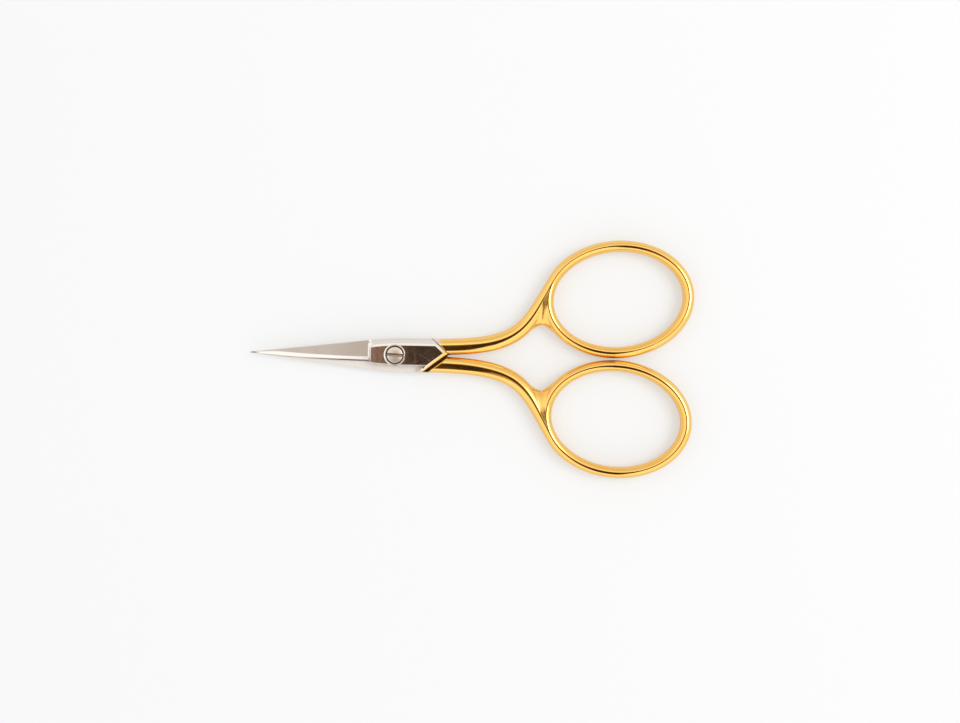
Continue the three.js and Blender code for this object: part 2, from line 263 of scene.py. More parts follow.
def sweep(
    path: Array, heading: Array, width: Array, height: Array, squareness: Array, is_loop: bool,
) -> Surface:
    """Carry a rounded section along a plan path.

    The section at each path point is |across / half width|^p + |up / half height|^p = 1, drawn by polar
    angle and set square to the heading.

    Args:
        path: Plan points, rings by 2.
        heading: Unit plan directions, rings by 2.
        width: Full width at each ring.
        height: Half height at each ring.
        squareness: Exponent p at each ring.
        is_loop: Whether the path is closed.

    Returns:
        The closed skin.
    """
    sides = 96
    angle = np.linspace(0, 2 * np.pi, sides, endpoint=False)[None]
    power = squareness[:, None]
    level_part = np.abs(np.cos(angle) / (width[:, None] / 2)) ** power
    upright_part = np.abs(np.sin(angle) / height[:, None]) ** power
    radius = (level_part + upright_part) ** (-1 / power)
    across = radius * np.cos(angle)
    up = radius * np.sin(angle)
    x = path[:, :1] - heading[:, 1:] * across
    y = path[:, 1:] + heading[:, :1] * across
    return skin(np.stack([x, y, up], axis=-1), is_loop)


def turned(profile: Sequence[Pair], reach: float, satin: float = 0.0) -> Surface:
    """Turn a profile about the pivot axis.

    The profile starts and ends close to the axis, where small flat faces close the skin. These two corners
    stay sharp, the others are rounded.

    Args:
        profile: Corners in radius and height, from the lower end outward to the upper end.
        reach: Reach of the rounding.
        satin: Satin share of the whole skin.

    Returns:
        The closed skin.
    """
    steps, arc = 128, 6
    reaches = np.full((1, len(profile)), reach)
    reaches[0, [0, -1]] = 0
    fill = [2] * (len(profile) - 1) + [0]
    rows = rounded(np.array(profile)[None], reaches, arc, fill)[0][arc:-arc]
    angle = np.linspace(0, 2 * np.pi, steps, endpoint=False)
    ring = np.stack([np.cos(angle), np.sin(angle)], axis=-1)
    plan = rows[:, None, :1] * ring[None]
    up = np.broadcast_to(rows[:, None, 1:], (len(rows), steps, 1))
    return skin(np.concatenate([plan, up], axis=-1), False, np.full((len(rows), steps), satin))


def drawn(section: Array, start: Array, outward: Array, half_length: float, rings: int) -> Surface:
    """Draw a section along a level straight line.

    A point is start + across * outward + height * up + place * onward, where onward is outward x up.

    Args:
        section: Points in distance outward and height, anticlockwise.
        start: Middle of the line.
        outward: Level direction across the line.
        half_length: How far the bar runs from its middle to each end.
        rings: Rings along the bar.

    Returns:
        The bar as a closed skin.
    """
    ring = start + section[:, :1] * outward + section[:, 1:] * UP
    places = np.linspace(-half_length, half_length, rings)[:, None, None]
    return skin(ring[None] + places * np.cross(outward, UP), False)


class Workpiece:
    """Steel in progress: one mesh in millimetres that closed skins are joined to and cut from."""

    def __init__(self, blank: Surface) -> None:
        """Start from a blank."""
        self.item = self._raw(blank, 1)

    @staticmethod
    def _raw(surface: Surface, sign: int) -> bpy.types.Object:
        """Make a mesh object that carries the skin's corner values.

        Args:
            surface: The skin.
            sign: 1, or -1 for a cutter, whose normals are turned round.

        Returns:
            The object, in millimetres.
        """
        mesh = bpy.data.meshes.new("raw")
        mesh.from_pydata(surface.points.tolist(), [], surface.faces)
        for name, values, kind, slot in (
            (NORMAL, surface.normals * sign, "FLOAT_VECTOR", "vector"),
            (FLOW, np.pad(surface.flow, ((0, 0), (0, 1))), "FLOAT_VECTOR", "vector"),
            (SATIN, surface.satin, "FLOAT", "value"),
        ):
            layer = mesh.attributes.new(name, kind, "CORNER")
            layer.data.foreach_set(slot, values.astype(np.float32).ravel())
        item = bpy.data.objects.new("raw", mesh)
        bpy.context.scene.collection.objects.link(item)
        return item

    def _combine(self, tool: bpy.types.Object, work: Work) -> "Workpiece":
        """Join or cut with another mesh, which is used up.

        Args:
            tool: The other mesh's object.
            work: What it does.

        Returns:
            This piece.
        """
        step = self.item.modifiers.new(work.name, "BOOLEAN")
        step.operation = work.value
        step.solver = "MANIFOLD"
        step.object = tool
        graph = bpy.context.evaluated_depsgraph_get()
        mesh = bpy.data.meshes.new_from_object(self.item.evaluated_get(graph), depsgraph=graph)
        self.item.modifiers.clear()
        old = self.item.data
        self.item.data = mesh
        bpy.data.meshes.remove(old)
        spent = tool.data
        bpy.data.objects.remove(tool)
        bpy.data.meshes.remove(spent)
        return self

    def join(self, *others: Surface) -> "Workpiece":
        """Join other skins to the piece.

        Args:
            others: The skins.

        Returns:
            This piece.
        """
        for other in others:
            self._combine(self._raw(other, 1), Work.JOIN)
        return self

    def weld(self, other: "Workpiece") -> "Workpiece":
        """Join another piece to this one, which uses it up."""
        return self._combine(other.item, Work.JOIN)

    def cut(self, *tools: Surface) -> "Workpiece":
        """Cut other skins out of the piece.

        Args:
            tools: The skins.

        Returns:
            This piece.
        """
        for tool in tools:
            self._combine(self._raw(tool, -1), Work.CUT)
        return self

    def finish(self, name: str, side: Side, lift: float, shares: dict[str, Share]) -> bpy.types.Object:
        """Set the exact normals, lay the piece in the frame and return it.

        Args:
            name: The piece's name.
            side: Which way up it lies.
            lift: Height of the middle plane above the table.
            shares: Gold and painted shade shares by name, each worked out from points in the half's own
                frame.

        Returns:
            The finished object, in metres.
        """
        mesh = self.item.data
        points = np.empty(len(mesh.vertices) * 3, dtype=np.float32)
        mesh.vertices.foreach_get("co", points)
        points = points.reshape(-1, 3).astype(float)
        for label, rule in shares.items():
            layer = mesh.attributes.new(label, "FLOAT", "POINT")
            layer.data.foreach_set("value", rule(points).astype(np.float32))
        flip = np.array([1, side.value, side.value])
        placed = (points * flip + [0, 0, lift]) * METRE
        mesh.vertices.foreach_set("co", placed.astype(np.float32).ravel())
        normals = np.empty(len(mesh.loops) * 3, dtype=np.float32)
        mesh.attributes[NORMAL].data.foreach_get("vector", normals)
        mesh.attributes.remove(mesh.attributes[NORMAL])
        mesh.polygons.foreach_set("use_smooth", np.ones(len(mesh.polygons), dtype=bool))
        mesh.update()
        mesh.normals_split_custom_set((unit(normals.reshape(-1, 3)) * flip).tolist())
        mesh.name = name
        self.item.name = name
        return self.item


@dataclass(frozen=True)
class Stack:
    """Heights at the pivot.

    Attributes:
        half: Middle plane to the outer flat of one half.
        gap: Running gap between the two inner faces.
    """

    half: float
    gap: float = 0.2

    @property
    def inner(self) -> float:
        """Middle plane to an inner face."""
        return self.gap / 2


@dataclass(frozen=True)
class LapJoint:
    """The V behind the pivot: a chamfered shoulder on the spine side, a file cut on the shank side.

    Attributes:
        stack: Heights at the pivot.
        distance: Pivot to the point of the V.
        angle: Slant of the shoulder, in degrees.
        gap: Room between the shoulder and the other half's shank.
        chamfer: Width of the shoulder's chamfer, and chamfer_drop how far it falls.
        cut_angle: Slant of the file cut, in degrees.
        bank: Width of the bank down from the flat, and bank_drop how far it falls.
        groove: Width of the file cut's groove, and depth its depth below the flat.
        rim: Chamfer at the top of the shank's wall.
        room_rim: Chamfer of the room for the other half's flat.
        lip: Rounding of the cut edges.
        seam: Hair's gap between the nickel piece and the gold piece of one half.
        beyond: Length of a cut, well beyond the part.
        over: Height of a cut above the part.
    """

    stack: Stack
    distance: float = 11.2
    angle: float = 42.0
    gap: float = 0.12
    chamfer: float = 0.62
    chamfer_drop: float = 0.3
    cut_angle: float = 37.0
    bank: float = 0.55
    bank_drop: float = 0.3
    groove: float = 0.75
    depth: float = 0.8
    rim: float = 0.2
    room_rim: float = 0.15
    lip: float = 0.06
    seam: float = 0.004
    beyond: float = 45.0
    over: float = 2.0

    @property
    def collar(self) -> float:
        """Where the flat ends and the bank of the file cut begins, measured across the cut."""
        return -self.bank - self.groove

    @property
    def above(self) -> float:
        """A height clear of the steel."""
        return self.stack.half + self.over

    def outward(self, angle: float, arm: Arm) -> Array:
        """Level direction outward across one arm of the V, by its slant in degrees."""
        slant = math.radians(angle)
        return np.array([math.sin(slant), arm * math.cos(slant), 0.0])

    def across(self, points: Array, angle: float, arm: Arm) -> Array:
        """Measure points outward across one arm of the V."""
        return (points - [self.distance, 0, 0]) @ self.outward(angle, arm)

    def bar(self, profile: Sequence[Pair], angle: float, arm: Arm) -> Surface:
        """Lay a bar along one arm of the V.

        Args:
            profile: Corners in distance outward across the arm and height.
            angle: Slant of the arm, in degrees.
            arm: Which arm.

        Returns:
            The bar as a closed skin.
        """
        steps, rings = 5, 9
        corners = np.array(profile)[None]
        area = np.cross(corners[0], np.roll(corners[0], -1, axis=0)).sum()
        corners = corners if area > 0 else corners[:, ::-1]
        reach = np.full(corners.shape[:2], self.lip)
        section = rounded(corners, reach, steps, [1] * len(profile))[0]
        start = np.array([self.distance, 0, 0])
        return drawn(section, start, self.outward(angle, arm), self.beyond, rings)

    def shoulder(self) -> Surface:
        """Shape what is cut away behind the chamfered shoulder of the flat.

        Returns:
            The cutter.
        """
        rise = self.over * self.chamfer / self.chamfer_drop
        return self.bar([
            (-self.chamfer - rise, self.above + self.over),
            (-self.chamfer - rise, self.above),
            (0, self.stack.half - self.chamfer_drop),
            (0, -self.above),
            (self.beyond, -self.above),
            (self.beyond, self.above + self.over),
        ], self.angle, Arm.SPINE)

    def block(self, first: float, last: float) -> Surface:
        """Shape everything between two places measured across the file cut.

        Args:
            first: Where it begins.
            last: Where it ends.

        Returns:
            The cutter.
        """
        return self.bar(
            [(first, -self.above), (last, -self.above), (last, self.above), (first, self.above)],
            self.cut_angle, Arm.SHANK,
        )

    def room(self) -> Surface:
        """Shape the room in the shank for the other half's flat and shoulder.

        Returns:
            The cutter.
        """
        return self.bar([
            (self.gap, self.stack.inner),
            (-self.beyond, self.stack.inner),
            (-self.beyond, -self.above),
            (self.gap + self.room_rim + self.over, -self.above),
            (self.gap, self.room_rim - self.stack.half),
        ], self.angle, Arm.SHANK)

    def file_cut(self) -> Surface:
        """Shape the file cut: a bank down from the flat, a groove, and the wall of the shank with its rim.

        Returns:
            The cutter.
        """
        flat = self.stack.half
        return self.bar([
            (self.collar - self.over, self.above),
            (self.collar - self.over * self.bank / self.bank_drop, self.above),
            (-self.groove, flat - self.bank_drop),
            (-self.groove, flat - self.depth),
            (0, flat - self.depth),
            (0, flat - self.rim),
            (self.rim + self.over, self.above),
        ], self.cut_angle, Arm.SHANK)


@dataclass(frozen=True)
class PivotScrew:
    """The slotted screw and the holes that it needs.

    Attributes:
        stack: Heights at the pivot.
        diameter: Stem, and head the head's diameter, head_height its height.
        drop: How far the head lies below the flat.
        crown: Rise of the domed head.
        chamfer: Chamfer round the head.
        slot_width: Width of the slot, slot_depth its depth, slot_round the rounding of its floor.
        slot_turn: How far the slot is turned from the long axis, in degrees.
        bore_room: Room round the stem in the top half, and thread_room in the bottom half.
        head_room: Room round the head, and seat_room under it.
        sink: Depth of the chamfer round the counterbore.
        lip: Rounding of the turned edges.
        satin: Satin share of the screw.
        warmth: Gold share of the screw.
        slot_shade: Strength of the painted shade in the slot, and shade_start the depth where it begins.
        over: Height of a cut above the part.
        axis: Radius of the small faces that close a turned skin.
    """

    stack: Stack
    diameter: float = 2.0
    head: float = 3.25
    head_height: float = 0.85
    drop: float = 0.08
    crown: float = 0.09
    chamfer: float = 0.1
    slot_width: float = 0.58
    slot_depth: float = 0.4
    slot_round: float = 0.27
    slot_turn: float = -3.5
    bore_room: float = 0.12
    thread_room: float = 0.1
    head_room: float = 0.17
    seat_room: float = 0.15
    sink: float = 0.4
    lip: float = 0.04
    satin: float = 0.45
    warmth: float = 0.44
    slot_shade: float = 0.8
    shade_start: float = 0.15
    over: float = 2.0
    axis: float = 0.02

    @property
    def top(self) -> float:
        """Middle plane to the top of the head."""
        return self.stack.half - self.drop

    def counterbore(self) -> Surface:
        """Shape the counterbored hole through the top half, with a chamfer round the head.

        Returns:
            The cutter.
        """
        bore = self.diameter / 2 + self.bore_room
        room = self.head / 2 + self.head_room
        seat = self.top - self.head_height - self.seat_room
        above = self.stack.half + self.over
        return turned([
            (self.axis, -self.over),
            (bore, -self.over),
            (bore, seat),
            (room, seat),
            (room, self.stack.half - self.sink),
            (room + self.sink + self.over, above),
            (self.axis, above),
        ], self.lip)

    def tapped_hole(self) -> Surface:
        """Shape the tapped hole through the bottom half.

        Returns:
            The cutter.
        """
        bore = self.diameter / 2 + self.thread_room
        above = self.stack.half + self.over
        profile = [(self.axis, -self.over), (bore, -self.over), (bore, above), (self.axis, above)]
        return turned(profile, self.lip)

    def body(self) -> Surface:
        """Shape the stem and the head, whose top is a shallow paraboloid.

        Returns:
            The turned blank.
        """
        crown_points = 9
        rim = self.head / 2 - self.chamfer
        shares = np.linspace(1, self.axis, crown_points)
        seat = self.top - self.head_height
        return turned([
            (self.axis, -self.stack.half),
            (self.diameter / 2, -self.stack.half),
            (self.diameter / 2, seat),
            (self.head / 2, seat),
            (self.head / 2, self.top - self.crown - self.chamfer),
            *zip(rim * shares, self.top - self.crown * shares**2),
        ], self.lip, self.satin)

    def slot(self) -> Surface:
        """Shape the round-bottomed slot.

        Returns:
            The cutter.
        """
        steps, rings = 7, 5
        half = self.slot_width / 2
        floor, above = self.top - self.slot_depth, self.top + self.over
        corners = np.array([[(-half, floor), (half, floor), (half, above), (-half, above)]])
        reach = np.array([[self.slot_round, self.slot_round, self.lip, self.lip]])
        section = rounded(corners, reach, steps, [1] * 4)[0]
        turn = math.radians(self.slot_turn)
        sideways = np.array([-math.sin(turn), math.cos(turn), 0])
        return drawn(section, np.zeros(3), sideways, self.head, rings)

    def slot_painted_shade(self, points: Array) -> Array:
        """Painted shade that deepens towards the slot's floor."""
        # painted shade in the slot, deeper towards its floor
        return self.slot_shade * smooth((self.shade_start, self.slot_depth), self.top - points[:, 2])

    def build(self) -> bpy.types.Object:
        """Turn the screw, mill its slot and lay it in the frame.

        Returns:
            The finished screw.
        """
        screw = Workpiece(self.body()).cut(self.slot())
        return screw.finish("screw", Side.TOP, self.stack.half, {
            GOLD_SHARE: lambda points: np.full(len(points), self.warmth),
            PAINTED_SHADE: self.slot_painted_shade,
        })


@dataclass(frozen=True)
class Blade:
    """Blade and pivot flat: ground outer face, sharpened bevel, hollow inner face, plunge and raised pad.

    Attributes:
        stack: Heights at the pivot.
        length: Pivot to the tip, and root the pivot to the blade's root.
        root_spine: Half width at the root on the spine side, and root_edge on the edge side.
        belly: How far the cutting edge bulges halfway.
        tip_width: Width at the tip.
        root_thickness: Middle plane to the spine at the root, and tip_thickness at the tip.
        face_tilt: Fall of the ground face from the spine to the bevel, in degrees.
        bevel: Width of the bevel, at most tip_bevel_share of the blade's width.
        edge_thickness: Thickness at the cutting edge.
        land: Width of the level land beside the edge at the root, from none at land_start along the blade.
        spine_round: Rounding along the spine.
        hollow: Depth of the hollow inner face.
        nose: Length of the rounding at the tip, and nose_least the least square of its scale.
        plunge_radius: Radius of the plunge from the blade up to the pad.
        shoulder_lip: Rounding at the top of the plunge.
        flat_spine: Half width of the flat on the spine side, and flat_edge on the edge side.
        shoulder_edge: Half width on the edge side where the flat begins.
        swell_end: Where the flat has its full width.
        side_start: Where the spine side starts to turn into the flat's, as a share of the plunge.
        flat_inset: Spine side to the border of the raised pad.
        pad_height: Height of the pad, pad_chamfer the width of its border, pad_round its round corner.
        ledge: Width of the level ledge beside the pad.
        crown_drop: How far the spine side lies below the ledge.
        side_round: Rounding of the flat's spine side.
        edge_break: Size of the broken edge along the pad, and break_bend where it bends.
        face_satin: Satin share of the ground face.
        micro: Rounding of a sharp corner.
        heel: How far the flat runs behind the pivot before it is cut.
        face_stops: Corners across the ground face, as shares of the way from spine to bevel.
        fill: Extra points after each corner of the section.
        arc_steps: Spans of each rounded corner.
    """

    stack: Stack
    length: float = 29.3
    root: float = 5.5
    root_spine: float = 2.9
    root_edge: float = 1.32
    belly: float = 0.23
    tip_width: float = 0.18
    root_thickness: float = 1.32
    tip_thickness: float = 0.45
    face_tilt: float = 8.0
    bevel: float = 0.85
    tip_bevel_share: float = 0.7
    edge_thickness: float = 0.06
    land: float = 0.15
    land_start: float = 0.3
    spine_round: float = 0.1
    hollow: float = 0.1
    nose: float = 0.18
    nose_least: float = 0.02
    plunge_radius: float = 0.6
    shoulder_lip: float = 0.08
    flat_spine: float = 3.5
    flat_edge: float = 2.05
    shoulder_edge: float = 1.6
    swell_end: float = 2.0
    side_start: float = 0.3
    flat_inset: float = 1.55
    pad_height: float = 0.45
    pad_chamfer: float = 0.5
    pad_round: float = 0.45
    ledge: float = 0.1
    crown_drop: float = 0.4
    side_round: float = 0.5
    edge_break: float = 0.1
    break_bend: float = 0.4
    face_satin: float = 0.45
    micro: float = 0.05
    heel: float = 13.2
    face_stops: tuple[float, ...] = (0.2, 0.3, 0.45)
    fill: tuple[int, ...] = (14, 3, 4, 1, 2, 14, 3, 2, 1)
    arc_steps: int = 7

    def rows(self) -> tuple[Array, Array]:
        """Lay out the rings along the length.

        The plunge rises along a circle from the ground face and turns over a small lip onto the pad.

        Returns:
            Distance of each ring from the pivot, and its share of the way from blade to pad.
        """
        blade_rings, tip_rings, plunge_rings, lip_rings, corner_rings, flat_rings = 220, 9, 26, 8, 15, 90
        rise = self.stack.half - self.root_thickness
        blade = np.linspace(-self.length, -self.root, blade_rings)[:-1]
        tip = -self.length + self.nose * np.linspace(0, 1, tip_rings) ** 2
        blade = np.concatenate([tip, blade[blade > tip[-1]]])
        turn = np.linspace(0, math.acos(1 - rise / self.plunge_radius), plunge_rings)
        plunge_x = self.plunge_radius * np.sin(turn) - self.root
        plunge_share = self.plunge_radius * (1 - np.cos(turn)) / rise
        shoulder = plunge_x[-1]
        kept = plunge_x < shoulder - self.shoulder_lip
        lip = np.linspace(0, 1, lip_rings)[1:]
        lip_end = shoulder + self.shoulder_lip
        lip_x = parabola(plunge_x[kept][-1], shoulder, lip_end, lip)
        lip_share = parabola(plunge_share[kept][-1], 1, 1, lip)
        corner = np.linspace(lip_end, lip_end + self.pad_round, corner_rings)[1:]
        flat = np.linspace(corner[-1], self.heel, flat_rings)[1:]
        x = np.concatenate([blade, plunge_x[kept], lip_x, corner, flat])
        share = np.concatenate([
            np.zeros(len(blade)), plunge_share[kept], lip_share, np.ones(len(corner) + len(flat)),
        ])
        return x, share

    def along(self, x: Array) -> Array:
        """Share of the way from the tip to the root."""
        return np.clip((x + self.length) / (self.length - self.root), 0, 1)

    def edge_line(self, x: Array) -> Array:
        """Where the cutting edge lies: a straight taper with a parabola's belly."""
        along = self.along(x)
        return -mix(self.tip_width / 2, self.root_edge, along) - self.belly * hump(along)

    def blade_corners(self, x: Array) -> tuple[Array, Array]:
        """Place the corners of the blade's section.

        From the cutting edge across the inner face to the spine, over the spine, down the tilted ground
        face to the bevel line, and down the bevel to a level land that widens towards the root.

        Args:
            x: Distance of each ring from the pivot.

        Returns:
            Rings by corners by 2, and the reach of each corner's rounding.
        """
        along = self.along(x)
        spine = mix(self.tip_width / 2, self.root_spine, along)
        edge = self.edge_line(x)
        bevel_line = edge + np.minimum(self.bevel, (spine - edge) * self.tip_bevel_share)
        land = edge + self.land * smooth((self.land_start, 1.0), along) + self.edge_thickness / 2
        face = [spine, *(mix(spine, bevel_line, stop) for stop in self.face_stops), bevel_line]
        top = mix(self.tip_thickness, self.root_thickness, along)
        fall = math.tan(math.radians(self.face_tilt))
        inner = np.full_like(x, self.stack.inner)
        foot = inner + self.edge_thickness
        y = np.stack([edge, spine, *face, land, edge], axis=1)
        z = np.stack([inner, inner, *(top - (spine - place) * fall for place in face), foot, foot], axis=1)
        reach = np.full(y.shape, self.micro)
        reach[:, [Corner.EDGE, Corner.LAND, Corner.RIM]] = self.edge_thickness / 3
        reach[:, Corner.SPINE] = self.spine_round
        return np.stack([y, z], axis=-1), reach

    def flat_corners(self, x: Array, shoulder: float) -> tuple[Array, Array]:
        """Place the corners of the pivot flat's section.

        A rounded spine side that rises to a narrow ledge, the foot and border of the raised pad, and the
        broken edge along its other side. The pad's border runs round a quarter circle where it meets the
        shoulder.

        Args:
            x: Distance of each ring from the pivot.
            shoulder: Where the plunge ends.

        Returns:
            Rings by corners by 2, and the reach of each corner's rounding.
        """
        along = np.clip((x + self.root) / (self.swell_end + self.root), 0, 1)
        swell = 1 - (1 - along) ** 2
        side = mix(self.root_spine, self.flat_spine, swell)
        edge = -mix(self.shoulder_edge, self.flat_edge, swell)
        before = np.clip((shoulder + self.pad_round - x) / self.pad_round, 0, 1)
        border = side - self.flat_inset - self.pad_round * (1 - np.sqrt(1 - before**2))
        foot = border + self.pad_chamfer
        bend = self.edge_break * self.break_bend
        inner = np.full_like(x, self.stack.inner)
        top = np.full_like(x, self.stack.half)
        base = top - self.pad_height
        low = top - self.edge_break
        y = np.stack([
            edge, side, side, foot + self.ledge, foot, border, edge + self.edge_break, edge + bend, edge,
        ], axis=1)
        z = np.stack([inner, inner, base - self.crown_drop, base, base, top, top, low + bend, low], axis=1)
        reach = np.full(y.shape, self.micro)
        reach[:, Corner.SPINE] = self.side_round
        return np.stack([y, z], axis=-1), reach

    def columns(self, first: Corner, last: Corner) -> slice:
        """Columns of the section from the arc at one corner to the arc at another."""
        span = self.arc_steps + 1
        return slice(first * span + sum(self.fill[:first]), (last + 1) * span + sum(self.fill[:last]))

    def surface(self) -> Surface:
        """Loft the sections along the length.

        The flat's corners replace the blade's by each ring's share. The inner face is hollowed along a
        parabola, and the tip is drawn in along an ellipse.

        Returns:
            The closed skin, with its flow along the section so that grinding lines cross the blade.
        """
        x, share = self.rows()
        shoulder = x[share < 1][-1]
        blade, blade_reach = self.blade_corners(x)
        flat, flat_reach = self.flat_corners(x, shoulder)
        weight = share[:, None]
        corners = mix(blade, flat, weight[..., None])
        side_run = (mix(-self.root, shoulder, self.side_start), shoulder + self.pad_round)
        on_blade, on_flat = blade[:, Corner.SPINE, 1], flat[:, Corner.SPINE, 1]
        corners[:, Corner.SPINE, 1] = mix(on_blade, on_flat, smooth(side_run, x))
        section = rounded(corners, mix(blade_reach, flat_reach, weight), self.arc_steps, self.fill)

        inner_face = self.columns(Corner.EDGE, Corner.BACK)
        inner = section[:, inner_face, 0]
        low = inner.min(axis=1, keepdims=True)
        high = inner.max(axis=1, keepdims=True)
        scale = np.minimum(1, (high - low) / self.root_spine) * (1 - weight)
        section[:, inner_face, 1] += self.hollow * scale * hump((inner - low) / (high - low))
        satin = np.zeros(section.shape[:2])
        satin[:, inner_face] = 1
        satin[:, self.columns(Corner.SPINE, Corner.BEVEL)] = self.face_satin * (1 - weight)

        nose = np.clip((x + self.length) / self.nose, 0, 1)[:, None, None]
        middle = section.mean(axis=1, keepdims=True)
        section = middle + (section - middle) * np.sqrt(np.maximum(1 - (1 - nose) ** 2, self.nose_least))
        length = np.broadcast_to(x[:, None, None], (*section.shape[:2], 1))
        lofted = skin(np.concatenate([length, section], axis=-1), False, satin)
        lofted.flow = lofted.flow[:, ::-1]
        return lofted


@dataclass(frozen=True)
class Handle:
    """Shank, web and finger bow.

    Attributes:
        stack: Heights at the pivot.
        joint: The joint that the shank starts from.
        setback: How far before the joint the shank starts.
        gap: Gap between the two shanks at the joint.
        start_pull: How far the shank runs on straight from the joint, and end_pull into the bow.
        width: Width at the joint, and end_width at the bow.
        relief: How far the shank's crest lies below the flat on its way, until it rises over relief_end.
        joint_squareness: Section's exponent at the joint, and squareness once it is round, by square_run.
        bow_distance: Pivot to the bow's middle, along the length.
        bow_gap: Gap between the two bows.
        bow_long: Half the bow's long axis, and bow_short half its short one.
        bow_tilt: Tilt of the bow, in degrees.
        bow_width: Width of the bow's wire, and bow_squareness its section's exponent.
        merge_angle: Where on the bow the shank ends, in degrees.
        web_start: How far from that place the web starts, and web_reach how far it may run.
        web_level: How far apart the middle lines are where the web starts to fall.
        web_open: How far apart they are where its free border lies.
        web_crease: Exponent of the valley across the web.
        web_fall: Exponent of its fall, and web_belly of its roundness.
        web_sink: How far its border lies below the wires' crests, and web_edge its least half height.
        web_inset: Share of the way across that it stays clear of the middle lines.
        web_satin: Satin share in the valley.
    """

    stack: Stack
    joint: LapJoint
    setback: float = 4.2
    gap: float = 0.22
    start_pull: float = 19.2
    end_pull: float = 11.7
    width: float = 3.35
    end_width: float = 2.32
    relief: float = 0.1
    relief_end: Run = (0.6, 0.9)
    joint_squareness: float = 2.5
    squareness: float = 2.2
    square_run: Run = (0.1, 0.3)
    bow_distance: float = 45.0
    bow_gap: float = 0.3
    bow_long: float = 14.26
    bow_short: float = 10.77
    bow_tilt: float = 5.5
    bow_width: float = 2.35
    bow_squareness: float = 2.1
    merge_angle: float = 153.0
    web_start: float = 1.0
    web_reach: float = 15.0
    web_level: float = 1.3
    web_open: float = 6.0
    web_crease: float = 1.7
    web_fall: float = 1.25
    web_belly: float = 0.6
    web_sink: float = 0.012
    web_edge: float = 0.02
    web_inset: float = 0.012
    web_satin: float = 0.5

    def tilted(self, long: Array, short: Array) -> Array:
        """Turn distances along the bow's two axes into plan distances, with the bow on the -Y side.

        Args:
            long: Distances along the long axis.
            short: Distances along the short axis.

        Returns:
            Plan distances from the bow's middle.
        """
        tilt = math.radians(self.bow_tilt)
        x = long * math.cos(tilt) - short * math.sin(tilt)
        y = long * math.sin(tilt) + short * math.cos(tilt)
        return np.stack([x, -y], axis=-1)

    def bow_point(self, angle: Array) -> Array:
        """Place points on the bow's middle line, a tilted ellipse whose side lies half the gap off centre.

        Args:
            angle: Where on the ellipse, in radians.

        Returns:
            Plan points.
        """
        tilt = math.radians(self.bow_tilt)
        reach = math.hypot(self.bow_long * math.sin(tilt), self.bow_short * math.cos(tilt))
        offset = reach + (self.bow_width + self.bow_gap) / 2
        ellipse = self.tilted(self.bow_long * np.cos(angle), self.bow_short * np.sin(angle))
        return np.array([self.bow_distance, -offset]) + ellipse

    def bow_heading(self, angle: Array) -> Array:
        """Directions along the bow's middle line, from the shank over its outer side."""
        return unit(self.tilted(self.bow_long * np.sin(angle), -self.bow_short * np.cos(angle)))

    def shank_line(self, share: Array) -> tuple[Array, Array]:
        """Follow the shank's middle line, a cubic curve from the joint into the bow.

        Args:
            share: How far along the curve.

        Returns:
            Plan points and unit directions.
        """
        merge = np.radians(self.merge_angle)
        start = np.array([self.joint.distance - self.setback, -(self.gap + self.width) / 2])
        end = self.bow_point(merge)
        first = start + [self.start_pull, 0]
        second = end - self.end_pull * self.bow_heading(merge)
        t = share[:, None]
        point = mix(parabola(start, first, second, t), parabola(first, second, end, t), t)
        return point, unit(parabola(first - start, second - first, end - second, t))

    def shank_height(self, share: Array) -> Array:
        """Half height of the shank, level with the flat at the joint and with the bow at its end."""
        sunk = smooth(self.square_run, share) - smooth(self.relief_end, share)
        return self.stack.half - self.relief * sunk

    def shank(self) -> Surface:
        """Sweep the shank, which is flat on top at the joint, then round, and sinks into the bow.

        Returns:
            The closed skin.
        """
        rings, lead_rings = 230, 12
        share = np.linspace(0, 1, rings)
        point, heading = self.shank_line(share)
        straight = np.array([1.0, 0.0])
        lead = point[:1] - np.linspace(self.setback, 0, lead_rings, endpoint=False)[:, None] * straight
        path = np.concatenate([lead, point])
        share = np.concatenate([np.zeros(lead_rings), share])
        heading = np.concatenate([np.tile(straight, (lead_rings, 1)), heading])
        round_power = mix(self.squareness, self.bow_squareness, share)
        power = mix(self.joint_squareness, round_power, smooth(self.square_run, share))
        width = mix(self.width, self.end_width, share**3)
        return sweep(path, heading, width, self.shank_height(share), power, False)

    def bow(self) -> Surface:
        """Sweep the bow's wire round its ellipse.

        Returns:
            The closed skin.
        """
        count = 480
        angle = np.radians(self.merge_angle) - np.linspace(0, 2 * np.pi, count, endpoint=False)
        sizes = (np.full(count, size) for size in (self.bow_width, self.stack.half, self.bow_squareness))
        return sweep(self.bow_point(angle), self.bow_heading(angle), *sizes, True)

